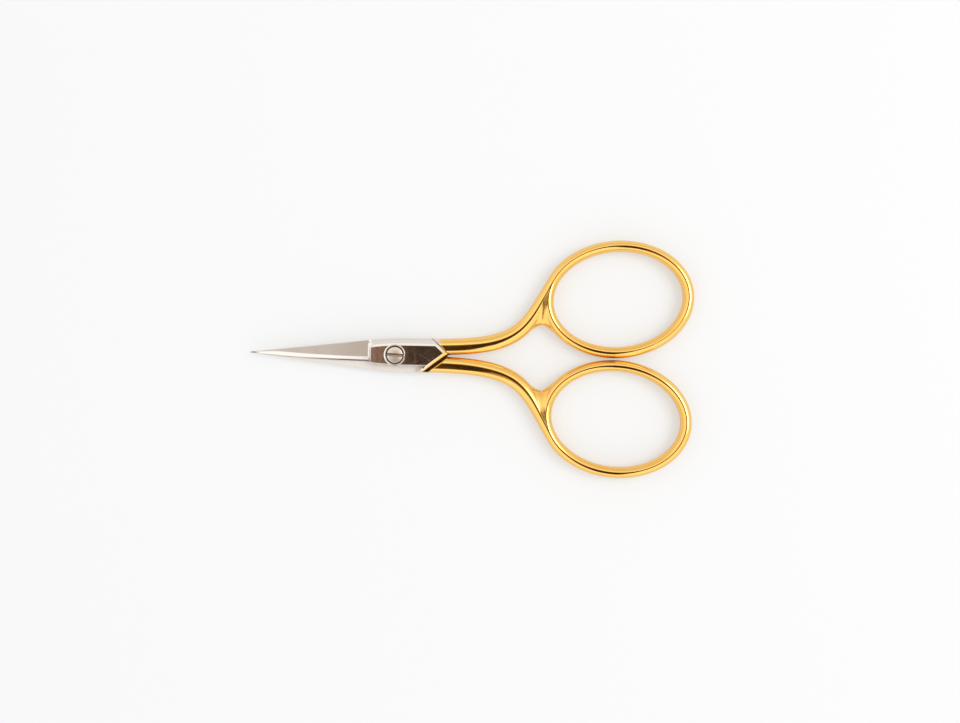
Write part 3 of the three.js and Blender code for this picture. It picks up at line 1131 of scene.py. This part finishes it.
    def web(self) -> Surface:
        """Fill the crotch between shank and bow.

        Lines cross from the bow's middle line to the shank's, at equal travel from where the two meet. The
        web is level until the middle lines are a first distance apart, and the share s of the way from
        there to a second distance makes it fall. At a share t across, with the valley
        f = s (1 - |2t - 1|^k), its half height is (1 - f^q)^b of the wire's. The exponents k, q and b are
        the crease, the fall and the belly. Its free border is where f is 1. The wheel can't reach the
        valley, so it is satin there.

        Returns:
            The closed skin.
        """
        rings, steps, travel_steps, line_steps = 81, 48, 200, 400
        travel = np.linspace(self.web_start, self.web_reach, travel_steps)
        share = np.linspace(1, 0, line_steps)
        line, _ = self.shank_line(share)
        length = np.concatenate([[0], np.cumsum(np.linalg.norm(np.diff(line, axis=0), axis=-1))])
        share = np.interp(travel, length, share)
        on_shank, _ = self.shank_line(share)
        on_bow = self.bow_point(np.radians(self.merge_angle) + travel / self.bow_short)
        apart = np.linalg.norm(on_bow - on_shank, axis=-1)
        across = np.linspace(1 - self.web_inset, self.web_inset, rings)[:, None]
        spread = np.maximum(apart - self.web_level, 0) / (self.web_open - self.web_level)
        fill = spread * (1 - np.abs(2 * across - 1) ** self.web_crease)
        border = np.array([np.interp(1, row, travel) for row in fill])
        place = mix(self.web_start, border[:, None], np.sin(np.linspace(0, np.pi / 2, steps)))
        fill = np.stack([np.interp(stop, travel, row) for stop, row in zip(place, fill)])
        beside = np.interp(place, travel, self.shank_height(share))
        crest = mix(beside, self.stack.half, across) - self.web_sink
        height = crest * (1 - np.minimum(fill, 1) ** self.web_fall) ** self.web_belly
        height = np.maximum(height, self.web_edge)
        ends = [
            np.stack([np.interp(place, travel, line[:, axis]) for axis in range(2)], axis=-1)
            for line in (on_shank, on_bow)
        ]
        plan = mix(*ends, across[..., None])
        upper = np.concatenate([plan, height[..., None]], axis=-1)
        grid = np.concatenate([upper, (upper * [1, 1, -1])[:, ::-1]], axis=1)
        satin = np.broadcast_to(self.web_satin * hump(across), grid.shape[:2])
        return skin(grid, False, satin, has_bent_ends=True)


@dataclass(frozen=True)
class WearAndShade:
    """Where the plating is thin, and where shade is painted in as a dark colour.

    A run says where a change begins and where it is complete, in millimetres.

    Attributes:
        overrun: Gold that runs onto the nickel, measured from the collar, and overrun_gold its strength.
        under: Height over which the gold thins out on the way down.
        behind: Distance behind the shoulder over which it thins out towards the shoulder.
        outer: Place across the half over which it thins out towards the outer side.
        bank: Place across the half over which the bank's gold goes through bank_gold.
        cut: Distance from the groove over which the gold becomes complete.
        tip: Distance from the tip over which the painted dark reflection comes in.
        land: Distance from the root over which the painted shade on the land comes in.
        root: Distance from the root over which it passes to the plunge's foot.
        shoulder: Distance from the root over which it ends.
        foot: Distance from the plunge's lower border over which it comes in.
        edge_shade: Strength of the painted shade on land and foot.
        bore: Radius, and bore_depth the depth, over which the painted shade in the pivot hole comes in.
        inner_grey: Strength of the even grey on the inner face.
        inner_margin: Height above the hollow face that still counts as inner face.
        groove: Distance across the file cut over which its painted shade comes in, and wall over which it
            ends.
    """

    overrun: Run = (-0.35, 0.0)
    overrun_gold: float = 0.8
    under: Run = (0.6, -0.4)
    behind: Run = (1.6, 0.2)
    outer: Run = (-2.0, -2.8)
    bank: Run = (-1.7, -0.5)
    bank_gold: Pair = (0.15, 0.6)
    cut: Run = (-0.25, 0.1)
    tip: Run = (1.8, 0.3)
    land: Run = (-16.5, -6.5)
    root: Run = (-0.9, -0.3)
    shoulder: Run = (0.8, 0.5)
    foot: Run = (0.3, 0.16)
    edge_shade: float = 0.85
    bore: Run = (2.1, 1.9)
    bore_depth: Run = (0.4, 0.7)
    inner_grey: float = 0.13
    inner_margin: float = 0.01
    groove: Run = (-0.7, -0.5)
    wall: Run = (0.1, 0.0)


@dataclass(frozen=True)
class ForgedHalf:
    """One forged half: a nickel blade with its flat and a gold handle, which meet at the file cut."""

    side: Side
    stack: Stack
    joint: LapJoint
    screw: PivotScrew
    blade: Blade
    handle: Handle
    wear_and_shade: WearAndShade = WearAndShade()

    @property
    def label(self) -> str:
        """Word that begins the names of this half's pieces."""
        return self.side.name.lower()

    def past_cut(self, points: Array) -> Array:
        """Measure points outward across the file cut."""
        return self.joint.across(points, self.joint.cut_angle, Arm.SHANK)

    def nickel_share(self, points: Array) -> Array:
        """Gold that runs over onto the nickel in a thin line along the file cut."""
        return self.wear_and_shade.overrun_gold * smooth(self.wear_and_shade.overrun, self.past_cut(points) - self.joint.collar)

    def gold_share(self, points: Array) -> Array:
        """Thin the gold out on the bank, and beside the shoulder in the layer of the other half's flat.

        Args:
            points: Points in the half's own frame.

        Returns:
            Gold share of each point.
        """
        _, y, z = points.T
        behind = self.joint.across(points, self.joint.angle, Arm.SHANK)
        bare = smooth(self.wear_and_shade.under, z) * smooth(self.wear_and_shade.behind, behind) * smooth(self.wear_and_shade.outer, y)
        on_bank = mix(*self.wear_and_shade.bank_gold, smooth(self.wear_and_shade.bank, y))
        past_bank = smooth(self.wear_and_shade.cut, self.past_cut(points) + self.joint.groove)
        return (1 - bare) * mix(on_bank, 1.0, past_bank)

    def blade_painted_shade(self, points: Array) -> Array:
        """Paint a dark reflection on the tip and shade on the land, the plunge's foot and the pivot hole,
        and grey the inner face.

        Args:
            points: Points in the half's own frame.

        Returns:
            Painted shade share of each point.
        """
        wear_and_shade, blade = self.wear_and_shade, self.blade
        x, y, z = points.T
        past_root = x + blade.root
        in_root = smooth(wear_and_shade.root, past_root)
        above_inner = z - self.stack.inner
        is_low = np.abs(above_inner - blade.edge_thickness) < blade.edge_thickness / 2
        is_land = is_low & (y - blade.edge_line(x) < blade.land + blade.micro)
        land = is_land * smooth(wear_and_shade.land, past_root) * (1 - in_root)
        into_plunge = np.clip(past_root / blade.plunge_radius, 0, 1)
        border = -mix(blade.root_edge, blade.shoulder_edge, into_plunge)
        foot = in_root * smooth(wear_and_shade.shoulder, past_root) * smooth(wear_and_shade.foot, y - border)
        return np.maximum.reduce([
            # painted dark reflection on the tip
            smooth(wear_and_shade.tip, x + blade.length),
            # painted shade in the gap round the screw head
            smooth(wear_and_shade.bore, np.hypot(x, y)) * smooth(wear_and_shade.bore_depth, self.stack.half - z),
            # painted shade along the edge land and at the plunge's foot
            wear_and_shade.edge_shade * land,
            wear_and_shade.edge_shade * foot,
            # an even grey over the whole inner face
            wear_and_shade.inner_grey * (above_inner < blade.hollow + wear_and_shade.inner_margin),
        ])

    def handle_painted_shade(self, points: Array) -> Array:
        """Paint shade into the bottom of the file cut.

        Args:
            points: Points in the half's own frame.

        Returns:
            Painted shade share of each point.
        """
        # painted shade, deeper towards the groove's floor
        across = self.past_cut(points)
        depth = smooth((self.joint.bank_drop, self.joint.depth), self.stack.half - points[:, 2])
        return smooth(self.wear_and_shade.groove, across) * smooth(self.wear_and_shade.wall, across) * depth

    def flat_until(self, place: float) -> Workpiece:
        """Loft blade and flat, cut behind the shoulder and behind a place measured across the file cut."""
        steel = Workpiece(self.blade.surface())
        return steel.cut(self.joint.shoulder(), self.joint.block(place, self.joint.beyond))

    def build_blade(self) -> bpy.types.Object:
        """Loft the blade and flat, and cut the V and the pivot hole.

        Returns:
            The finished nickel piece.
        """
        hole = self.screw.counterbore() if self.side is Side.TOP else self.screw.tapped_hole()
        steel = self.flat_until(self.joint.collar).cut(hole)
        shares = {GOLD_SHARE: self.nickel_share, PAINTED_SHADE: self.blade_painted_shade}
        return steel.finish(f"{self.label}_blade", self.side, self.stack.half, shares)

    def build_handle(self) -> bpy.types.Object:
        """Sweep shank and bow, join the web and the stub of the flat, and cut the joint.

        Returns:
            The finished gold piece.
        """
        joint = self.joint
        steel = Workpiece(self.handle.shank()).join(self.handle.bow(), self.handle.web())
        steel.weld(self.flat_until(-joint.groove / 2))
        steel.cut(joint.block(-joint.beyond, joint.collar + joint.seam), joint.room(), joint.file_cut())
        shares = {GOLD_SHARE: self.gold_share, PAINTED_SHADE: self.handle_painted_shade}
        return steel.finish(f"{self.label}_handle", self.side, self.stack.half, shares)


class Nodes:
    """Short way to add and link the nodes of one tree."""

    def __init__(self, tree: bpy.types.NodeTree) -> None:
        """Keep the tree and empty it."""
        self.tree = tree
        tree.nodes.clear()

    def feed(self, socket: bpy.types.NodeSocket, value: Any) -> None:
        """Link an output to an input socket, or set the socket.

        Args:
            socket: The input socket.
            value: An output socket, a number, a vector, or a colour without alpha.
        """
        if isinstance(value, bpy.types.NodeSocket):
            self.tree.links.new(value, socket)
        elif socket.type == "RGBA":
            socket.default_value = (*value, 1)
        else:
            socket.default_value = value

    def add(self, kind: str, inputs: dict[Any, Any] | None = None, **settings: Any) -> bpy.types.Node:
        """Add a node.

        Args:
            kind: Blender's node type.
            inputs: Values or output sockets for its inputs, by name or index.
            settings: Properties to set on the node first.

        Returns:
            The node.
        """
        node = self.tree.nodes.new(kind)
        for name, value in settings.items():
            setattr(node, name, value)
        for name, value in (inputs or {}).items():
            self.feed(node.inputs[name], value)
        return node

    def math(self, operation: str, first: Any, second: Any = 0.0, third: Any = 0.0) -> bpy.types.NodeSocket:
        """Add a math node and return its output."""
        return self.add("ShaderNodeMath", {0: first, 1: second, 2: third}, operation=operation).outputs[0]

    def vector_math(self, operation: str, first: Any, second: Any) -> bpy.types.NodeSocket:
        """Add a vector math node and return its output."""
        return self.add("ShaderNodeVectorMath", {0: first, 1: second}, operation=operation).outputs[0]

    def blend(self, share: Any, start: Any, end: Any) -> bpy.types.NodeSocket:
        """Add a colour mix.

        Args:
            share: How far from start to end.
            start: First colour.
            end: Second colour.

        Returns:
            The mixed colour.
        """
        node = self.add("ShaderNodeMix", data_type="RGBA")
        for name, kind, value in (("Factor", "VALUE", share), ("A", "RGBA", start), ("B", "RGBA", end)):
            self.feed(next(s for s in node.inputs if s.name == name and s.type == kind), value)
        return next(s for s in node.outputs if s.type == "RGBA")

    def ramp(self, value: Any, run: Run, rise: Rise = Rise.LEVEL_ENDS) -> bpy.types.NodeSocket:
        """Rise from 0 at the run's start to 1 at its end and return the output."""
        inputs = {0: value, 1: run[0], 2: run[1]}
        return self.add("ShaderNodeMapRange", inputs, interpolation_type=rise.value).outputs[0]

    def noise(self, place: Any, **inputs: Any) -> bpy.types.Node:
        """Add a noise texture, its inputs named by their sockets."""
        return self.add("ShaderNodeTexNoise", {"Vector": place, **inputs})


class Group(Nodes):
    """A shader node group in the making."""

    def __init__(self, name: str, inputs: dict[str, str], outputs: Sequence[str]) -> None:
        """Start the group.

        Args:
            name: The group's name.
            inputs: Socket types by name.
            outputs: Names of its outputs, which are all numbers.
        """
        super().__init__(bpy.data.node_groups.new(name, "ShaderNodeTree"))
        for socket, kind in inputs.items():
            self.tree.interface.new_socket(socket, in_out="INPUT", socket_type=kind)
        for socket in outputs:
            self.tree.interface.new_socket(socket, in_out="OUTPUT", socket_type=NUMBER)
        self.given = self.add("NodeGroupInput").outputs

    def place(self) -> bpy.types.NodeSocket:
        """Add the piece's own coordinates and return them."""
        return self.add("ShaderNodeTexCoord").outputs["Object"]

    def give(self, **results: bpy.types.NodeSocket) -> bpy.types.NodeTree:
        """Link the results to the outputs by name and return the group."""
        self.add("NodeGroupOutput", results)
        return self.tree


class Effects:
    """Shader node groups that the finishes share."""

    def __init__(self) -> None:
        """Build each group once."""
        self.buffing = self._buffing()
        self.haze = self._haze()
        self.scratches = self._scratches()
        self.ripple = self._ripple()

    @staticmethod
    def _buffing() -> bpy.types.NodeTree:
        """Draw fine lines that run along the flow, left by the buffing wheel.

        Returns:
            The group.
        """
        group = Group(
            "buffing_lines", {"Flow": VECTOR, "Pitch": NUMBER, "Length": NUMBER}, ("Height", "Tone"),
        )
        parts = group.add("ShaderNodeSeparateXYZ", {0: group.given["Flow"]}).outputs
        along = group.math("DIVIDE", parts["X"], group.given["Length"])
        around = group.math("DIVIDE", parts["Y"], group.given["Pitch"])
        place = group.add("ShaderNodeCombineXYZ", {"X": along, "Y": around}).outputs[0]
        fine = group.noise(place, Scale=1.0, Detail=3.0, Roughness=0.6).outputs[0]
        broad = group.noise(place, Scale=0.22, Detail=1.0).outputs[0]
        return group.give(Height=fine, Tone=group.math("MULTIPLY", fine, broad))

    @staticmethod
    def _haze() -> bpy.types.NodeTree:
        """Spread a cloudy film and small specks from handling.

        Returns:
            The group.
        """
        film_run, speck_run = (0.35, 0.75), (0.16, 0.06)
        group = Group("handling_haze", {"Cloud": NUMBER, "Speck": NUMBER}, ("Film", "Specks"))
        place = group.place()
        cloud = group.noise(
            place, Scale=group.given["Cloud"], Detail=4.0, Roughness=0.55, Distortion=0.6,
        )
        dots = group.add("ShaderNodeTexVoronoi", {
            "Vector": place, "Scale": group.given["Speck"], "Randomness": 1.0,
        })
        return group.give(
            Film=group.ramp(cloud.outputs[0], film_run),
            Specks=group.ramp(dots.outputs["Distance"], speck_run, Rise.STRAIGHT),
        )

    @staticmethod
    def _ripple() -> bpy.types.NodeTree:
        """Raise the slow unevenness of hand polish, which breaks up the borders of reflections.

        Returns:
            The group.
        """
        group = Group("hand_ripple", {"Scale": NUMBER}, ("Height",))
        swell = group.noise(
            group.place(), Scale=group.given["Scale"], Detail=2.0, Roughness=0.5, Distortion=0.4,
        )
        return group.give(Height=swell.outputs[0])

    @staticmethod
    def _scratches() -> bpy.types.NodeTree:
        """Draw sparse hairline scratches in a turned direction.

        Returns:
            The group.
        """
        wobble, stretch, line_run = (0.004,) * 3, (140.0, 5200.0, 900.0), (0.66, 0.74)
        group = Group("hairlines", {"Turn": NUMBER, "Density": NUMBER}, ("Lines",))
        place = group.place()
        drift = group.noise(place, Scale=180.0, Detail=1.0).outputs["Color"]
        bent = group.vector_math("ADD", place, group.vector_math("MULTIPLY", drift, wobble))
        aligned = group.add("ShaderNodeVectorRotate", {
            "Vector": bent, "Angle": group.given["Turn"],
        }, rotation_type="Z_AXIS").outputs[0]
        grain = group.noise(
            group.vector_math("MULTIPLY", aligned, stretch), Scale=group.given["Density"], Detail=2.0,
        )
        return group.give(Lines=group.ramp(grain.outputs[0], line_run, Rise.STRAIGHT))


@dataclass(frozen=True)
class Plating:
    """A plated finish.

    Attributes:
        name: Name of the material.
        colour: Reflected colour of the polished plating.
        worn: Colour where the plating is thin.
        gold: Colour of the gold that the gold share brings in.
        shade_colour: Colour of the painted shade on tips, edges and in recesses.
        roughness: Roughness of the polish.
        satin_roughness: Roughness of the ground faces.
        film_roughness: Roughness that the film adds.
        line_pitch: Distance between buffing lines, in millimetres.
        line_depth: Depth of the buffing lines, in millimetres.
        ripple: Height of the slow unevenness of the polish, in millimetres.
        line_stretch: Length of a buffing line, in pitches.
        gold_run: Gold share over which the colour turns to gold, moved by gold_ragged times the film.
        line_wear: How far the lines show the worn colour, and film_wear the film.
        shade_cover: Cover of the painted shade, and shade_gap how far the film breaks it up.
        speck_roughness: Roughness that specks add, and scratch_roughness hairlines.
        polish_lines: How deep the lines are where polished, and satin_lines how much deeper where satin.
        cloud: Clouds per metre, speck the specks, and swell the ripples.
        scratch_turn: Direction of the hairlines, in radians, and scratch_density their density.
    """

    name: str
    colour: Colour
    worn: Colour
    gold: Colour
    shade_colour: Colour
    roughness: float
    satin_roughness: float
    film_roughness: float
    line_pitch: float
    line_depth: float
    ripple: float
    line_stretch: float = 60.0
    gold_run: Run = (0.15, 0.85)
    gold_ragged: float = 0.35
    line_wear: float = 0.35
    film_wear: float = 0.08
    shade_cover: float = 0.95
    shade_gap: float = 0.3
    speck_roughness: float = 0.08
    scratch_roughness: float = 0.1
    polish_lines: float = 0.5
    satin_lines: float = 3.5
    cloud: float = 160.0
    speck: float = 900.0
    swell: float = 420.0
    scratch_turn: float = 0.4
    scratch_density: float = 1.0

    def material(self, effects: Effects) -> bpy.types.Material:
        """Build the material.

        The gold share, broken up by the film, blends the colours, and the painted shade share, broken up by
        the film too, darkens them towards the painted shade colour. Film, specks, hairlines and the satin
        share set the roughness. Ripple and buffing lines along the flow set the bump.

        Args:
            effects: The shared node groups.

        Returns:
            The material.
        """
        finish = bpy.data.materials.new(self.name)
        finish.use_nodes = True
        nodes = Nodes(finish.node_tree)
        flow = nodes.add("ShaderNodeAttribute", attribute_name=FLOW).outputs["Vector"]
        satin, gold, dark = (
            nodes.add("ShaderNodeAttribute", attribute_name=name).outputs["Fac"]
            for name in (SATIN, GOLD_SHARE, PAINTED_SHADE)
        )
        buffing, haze, scratches, ripple = (
            nodes.add("ShaderNodeGroup", inputs, node_tree=tree).outputs
            for tree, inputs in (
                (effects.buffing, {
                    "Flow": flow, "Pitch": self.line_pitch, "Length": self.line_stretch * self.line_pitch,
                }),
                (effects.haze, {"Cloud": self.cloud, "Speck": self.speck}),
                (effects.scratches, {"Turn": self.scratch_turn, "Density": self.scratch_density}),
                (effects.ripple, {"Scale": self.swell}),
            )
        )

        uneven = nodes.math("SUBTRACT", haze["Film"], 0.5)
        ragged = nodes.math("MULTIPLY_ADD", uneven, self.gold_ragged, gold)
        base = nodes.blend(nodes.ramp(ragged, self.gold_run), self.colour, self.gold)
        tone = nodes.math("MULTIPLY", buffing["Tone"], self.line_wear)
        base = nodes.blend(nodes.math("MULTIPLY_ADD", haze["Film"], self.film_wear, tone), base, self.worn)
        # painted shade: the painted shade share darkens the colour towards the painted shade colour
        cover = nodes.math("MULTIPLY_ADD", haze["Film"], -self.shade_gap, self.shade_cover)
        base = nodes.blend(nodes.math("MULTIPLY", dark, cover), base, self.shade_colour)

        rough = self.roughness
        for share, amount in (
            (haze["Film"], self.film_roughness),
            (haze["Specks"], self.speck_roughness),
            (scratches["Lines"], self.scratch_roughness),
            (satin, self.satin_roughness - self.roughness),
        ):
            rough = nodes.math("MULTIPLY_ADD", share, amount, rough)
        deeper = nodes.math("MULTIPLY_ADD", satin, self.satin_lines, self.polish_lines)
        wavy = nodes.add("ShaderNodeBump", {
            "Strength": 1.0, "Distance": self.ripple * METRE, "Height": ripple["Height"],
        }).outputs[0]
        bump = nodes.add("ShaderNodeBump", {
            "Strength": 1.0,
            "Distance": self.line_depth * METRE,
            "Height": nodes.math("MULTIPLY", buffing["Height"], deeper),
            "Normal": wavy,
        }).outputs[0]
        shader = nodes.add("ShaderNodeBsdfPrincipled", {
            "Base Color": base, "Metallic": 1.0, "Roughness": rough, "Normal": bump,
        })
        nodes.add("ShaderNodeOutputMaterial", {"Surface": shader.outputs[0]})
        return finish


@dataclass(frozen=True)
class Zone:
    """One zone of light overhead.

    Attributes:
        colour: Its light.
        middle: Lean of its middle from straight up, along X and Y, in degrees.
        half: Half its width along X and Y, in degrees.
        soft: Width of its soft border along X and Y, in degrees.
    """

    colour: Colour
    middle: Pair
    half: Pair
    soft: Pair


@dataclass(frozen=True)
class Studio:
    """White table, panels left and right, walls near and far, zones and the camera overhead.

    Attributes:
        stack: Heights at the pivot.
        image_width: Picture elements across the image.
        scale: Millimetres in a picture element at the middle plane.
        turn: How far the camera is turned about its axis, in degrees.
        centre: Where the camera's axis meets the table, in millimetres.
        lens: Focal length, and sensor the sensor's width, in millimetres.
        floor_half: Half the table's side, in metres.
        floor_colour: Paint of the table, and floor_dim the share of it that the mottle leaves.
        floor_glow: Colour of the table's own light, and floor_strength its strength.
        zones: Zones overhead, from the bright lamp field to the core of the dark gap in it.
        panel_colour: Light from the left and right, far_colour and near_colour from behind and in front.
        panel_run: Share of X in the level part of a direction over which a wall turns into a panel.
        level_least: Added to that level part, which is nothing straight up.
        far_run: Y of a direction over which the near wall turns into the far one.
        low_share: What is left of the light low down, over low_run in Z, and low_side in Y.
        horizon_colour: Light at the horizon, over horizon_run in Z.
        lamp_size: Diameter of the soft light, lamp_power its watts, lamp_place where it hangs, in metres.
    """

    stack: Stack
    image_width: int = 960
    scale: float = 0.2029
    turn: float = 1.14
    centre: Pair = (17.23, -1.0)
    lens: float = 50.0
    sensor: float = 36.0
    floor_half: float = 12.0
    floor_colour: Colour = (0.385, 0.395, 0.41)
    floor_dim: float = 0.985
    floor_glow: Colour = (1.0, 0.985, 0.955)
    floor_strength: float = 0.435
    zones: tuple[Zone, ...] = (
        Zone(colour=(1.45, 1.45, 1.43), middle=(-2.0, -10.0), half=(25.0, 37.0), soft=(12.0, 12.0)),
        Zone(colour=(0.62, 0.505, 0.40), middle=(-4.0, -18.0), half=(13.0, 31.0), soft=(6.0, 14.0)),
        Zone(colour=(0.36, 0.21, 0.15), middle=(1.0, -18.0), half=(8.5, 28.0), soft=(3.5, 9.0)),
        Zone(colour=(0.04, 0.024, 0.014), middle=(2.6, -18.0), half=(6.4, 25.0), soft=(2.5, 8.0)),
    )
    panel_colour: Colour = (1.3, 1.3, 1.3)
    far_colour: Colour = (1.0, 0.97, 0.94)
    near_colour: Colour = (1.32, 1.32, 1.32)
    panel_run: Run = (0.1, 0.7)
    level_least: float = 1e-6
    far_run: Run = (-0.2, 0.2)
    low_share: float = 0.85
    low_run: Run = (0.78, 0.5)
    low_side: Run = (-0.7, -0.3)
    horizon_colour: Colour = (1.2, 1.2, 1.2)
    horizon_run: Run = (0.22, 0.05)
    lamp_size: float = 0.55
    lamp_power: float = 3.4
    lamp_place: Place = (0.6, 0.12, 0.75)

    def paint(self) -> bpy.types.Material:
        """Mix the table's paint, white with a faint mottle and a light of its own.

        Returns:
            The material.
        """
        paint = bpy.data.materials.new("table_white")
        paint.use_nodes = True
        nodes = Nodes(paint.node_tree)
        place = nodes.add("ShaderNodeTexCoord").outputs["Object"]
        mottle = nodes.noise(place, Scale=9.0, Detail=3.0).outputs[0]
        dimmer = tuple(self.floor_dim * value for value in self.floor_colour)
        shader = nodes.add("ShaderNodeBsdfPrincipled", {
            "Base Color": nodes.blend(mottle, self.floor_colour, dimmer),
            "Roughness": 0.8,
            "Specular IOR Level": 0.2,
            "Emission Color": self.floor_glow,
            "Emission Strength": self.floor_strength,
        })
        nodes.add("ShaderNodeOutputMaterial", {"Surface": shader.outputs[0]})
        return paint

    def floor(self) -> None:
        """Lay the table: a large level grid."""
        count = 9
        side = np.linspace(-self.floor_half, self.floor_half, count)
        x, y = np.meshgrid(side, side)
        points = np.stack([x, y, np.zeros_like(x)], axis=-1).reshape(-1, 3)
        row, column = np.meshgrid(np.arange(count - 1), np.arange(count - 1), indexing="ij")
        first = (row * count + column).ravel()
        quads = np.stack([first, first + 1, first + count + 1, first + count], axis=-1)
        mesh = bpy.data.meshes.new("table")
        mesh.from_pydata(points.tolist(), [], quads.tolist())
        mesh.materials.append(self.paint())
        table = bpy.data.objects.new("table", mesh)
        bpy.context.scene.collection.objects.link(table)

    def surroundings(self) -> None:
        """Light the world by direction.

        Bright panels face along X and walls along Y, blended by the share of X in the level part of the
        direction. All but the near wall are dimmer low down, and all turn white at the horizon. Each zone
        covers what comes before it where the lean along X and along Y both lie inside its borders.
        """
        world = bpy.data.worlds.new("studio")
        bpy.context.scene.world = world
        world.use_nodes = True
        nodes = Nodes(world.node_tree)
        direction = nodes.add("ShaderNodeTexCoord").outputs["Generated"]
        parts = nodes.add("ShaderNodeSeparateXYZ", {0: direction}).outputs
        along = nodes.math("MULTIPLY", parts["X"], parts["X"])
        level = nodes.math("ADD", along, self.level_least)
        level = nodes.math("MULTIPLY_ADD", parts["Y"], parts["Y"], level)
        is_panel = nodes.ramp(nodes.math("DIVIDE", along, level), self.panel_run)
        walls = nodes.blend(nodes.ramp(parts["Y"], self.far_run), self.near_colour, self.far_colour)
        colour = nodes.blend(is_panel, walls, self.panel_colour)
        is_low = nodes.ramp(parts["Z"], self.low_run)
        is_low = nodes.math("MULTIPLY", is_low, nodes.ramp(parts["Y"], self.low_side))
        shade = nodes.math("MULTIPLY_ADD", is_low, self.low_share - 1, 1.0)
        dimmed = nodes.add("ShaderNodeVectorMath", {0: colour, "Scale": shade}, operation="SCALE")
        is_horizon = nodes.ramp(parts["Z"], self.horizon_run)
        colour = nodes.blend(is_horizon, dimmed.outputs[0], self.horizon_colour)
        leans = [nodes.math("ARCTAN2", parts[axis], parts["Z"]) for axis in "XY"]
        for zone in self.zones:
            inside = 1.0
            for lean, middle, half, soft in zip(leans, zone.middle, zone.half, zone.soft):
                away = nodes.math("ABSOLUTE", nodes.math("SUBTRACT", lean, math.radians(middle)))
                share = nodes.ramp(away, (math.radians(half + soft / 2), math.radians(half - soft / 2)))
                inside = nodes.math("MULTIPLY", share, inside)
            colour = nodes.blend(inside, colour, zone.colour)
        glow = nodes.add("ShaderNodeBackground", {"Color": colour, "Strength": 1.0})
        nodes.add("ShaderNodeOutputWorld", {"Surface": glow.outputs[0]})

    def key_light(self) -> None:
        """Hang the soft light to the right of the bows, facing the pivot."""
        lamp = bpy.data.lights.new("soft_light", "AREA")
        lamp.shape = "DISK"
        lamp.size = self.lamp_size
        lamp.energy = self.lamp_power
        light = bpy.data.objects.new("soft_light", lamp)
        light.location = self.lamp_place
        light.rotation_euler = light.location.to_track_quat("Z", "Y").to_euler()
        bpy.context.scene.collection.objects.link(light)

    def camera(self) -> None:
        """Hang the camera straight above, turned so that the scissors slope as they do on the table."""
        lens = bpy.data.cameras.new("camera")
        lens.lens = self.lens
        lens.sensor_width = self.sensor
        lens.sensor_fit = "HORIZONTAL"
        distance = self.image_width * self.scale * self.lens / self.sensor
        view = bpy.data.objects.new("camera", lens)
        view.location = np.array([*self.centre, distance + self.stack.half]) * METRE
        view.rotation_euler = (0, 0, math.radians(self.turn))
        bpy.context.scene.collection.objects.link(view)
        bpy.context.scene.camera = view
        bpy.context.scene.view_settings.view_transform = "Standard"


NICKEL = Plating(
    name="nickel_plate",
    colour=(0.80, 0.755, 0.70),
    worn=(0.70, 0.655, 0.60),
    gold=(0.90, 0.66, 0.34),
    # painted shade colour for the tip, edges and recesses
    shade_colour=(0.16, 0.14, 0.13),
    roughness=0.06,
    satin_roughness=0.55,
    film_roughness=0.05,
    line_pitch=0.04,
    line_depth=0.0006,
    ripple=0.012,
)
GOLD = Plating(
    name="gold_plate",
    colour=(0.78, 0.68, 0.60),
    worn=(0.95, 0.65, 0.24),
    gold=(0.90, 0.54, 0.14),
    # painted shade colour for the file cut's groove
    shade_colour=(0.14, 0.07, 0.03),
    roughness=0.07,
    satin_roughness=0.4,
    film_roughness=0.04,
    line_pitch=0.07,
    line_depth=0.0014,
    ripple=0.008,
)


def dress(piece: bpy.types.Object, finish: bpy.types.Material, body: str, node: str) -> None:
    """Give a piece its material and its place in the frame, and report it.

    Args:
        piece: The finished piece.
        finish: Its material.
        body: The body that it rides on.
        node: The CAD node that it stands for.
    """
    piece.data.materials.clear()
    piece.data.materials.append(finish)
    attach(piece, body)
    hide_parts(node)
    LOG.info("%s: %d faces", piece.name, len(piece.data.polygons))


def main() -> None:
    """Build the pieces in order, dress them and set the studio."""
    logging.basicConfig(level=logging.INFO, format="%(name)s: %(message)s")
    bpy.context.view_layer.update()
    low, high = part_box("top_half")
    stack = Stack(half=(high.z - low.z) / 2 / METRE)
    joint = LapJoint(stack)
    screw = PivotScrew(stack)
    blade = Blade(stack)
    handle = Handle(stack, joint)
    effects = Effects()
    nickel = NICKEL.material(effects)
    gold = GOLD.material(effects)
    for side, body in ((Side.TOP, "moving_half"), (Side.BOTTOM, "fixed_half")):
        half = ForgedHalf(side, stack, joint, screw, blade, handle)
        node = f"{half.label}_half"
        dress(half.build_blade(), nickel, body, node)
        dress(half.build_handle(), gold, body, node)
    dress(screw.build(), nickel, "fixed_half", "pivot_screw")

    studio = Studio(stack)
    studio.floor()
    studio.surroundings()
    studio.key_light()
    studio.camera()


if __name__ == "__main__":
    main()
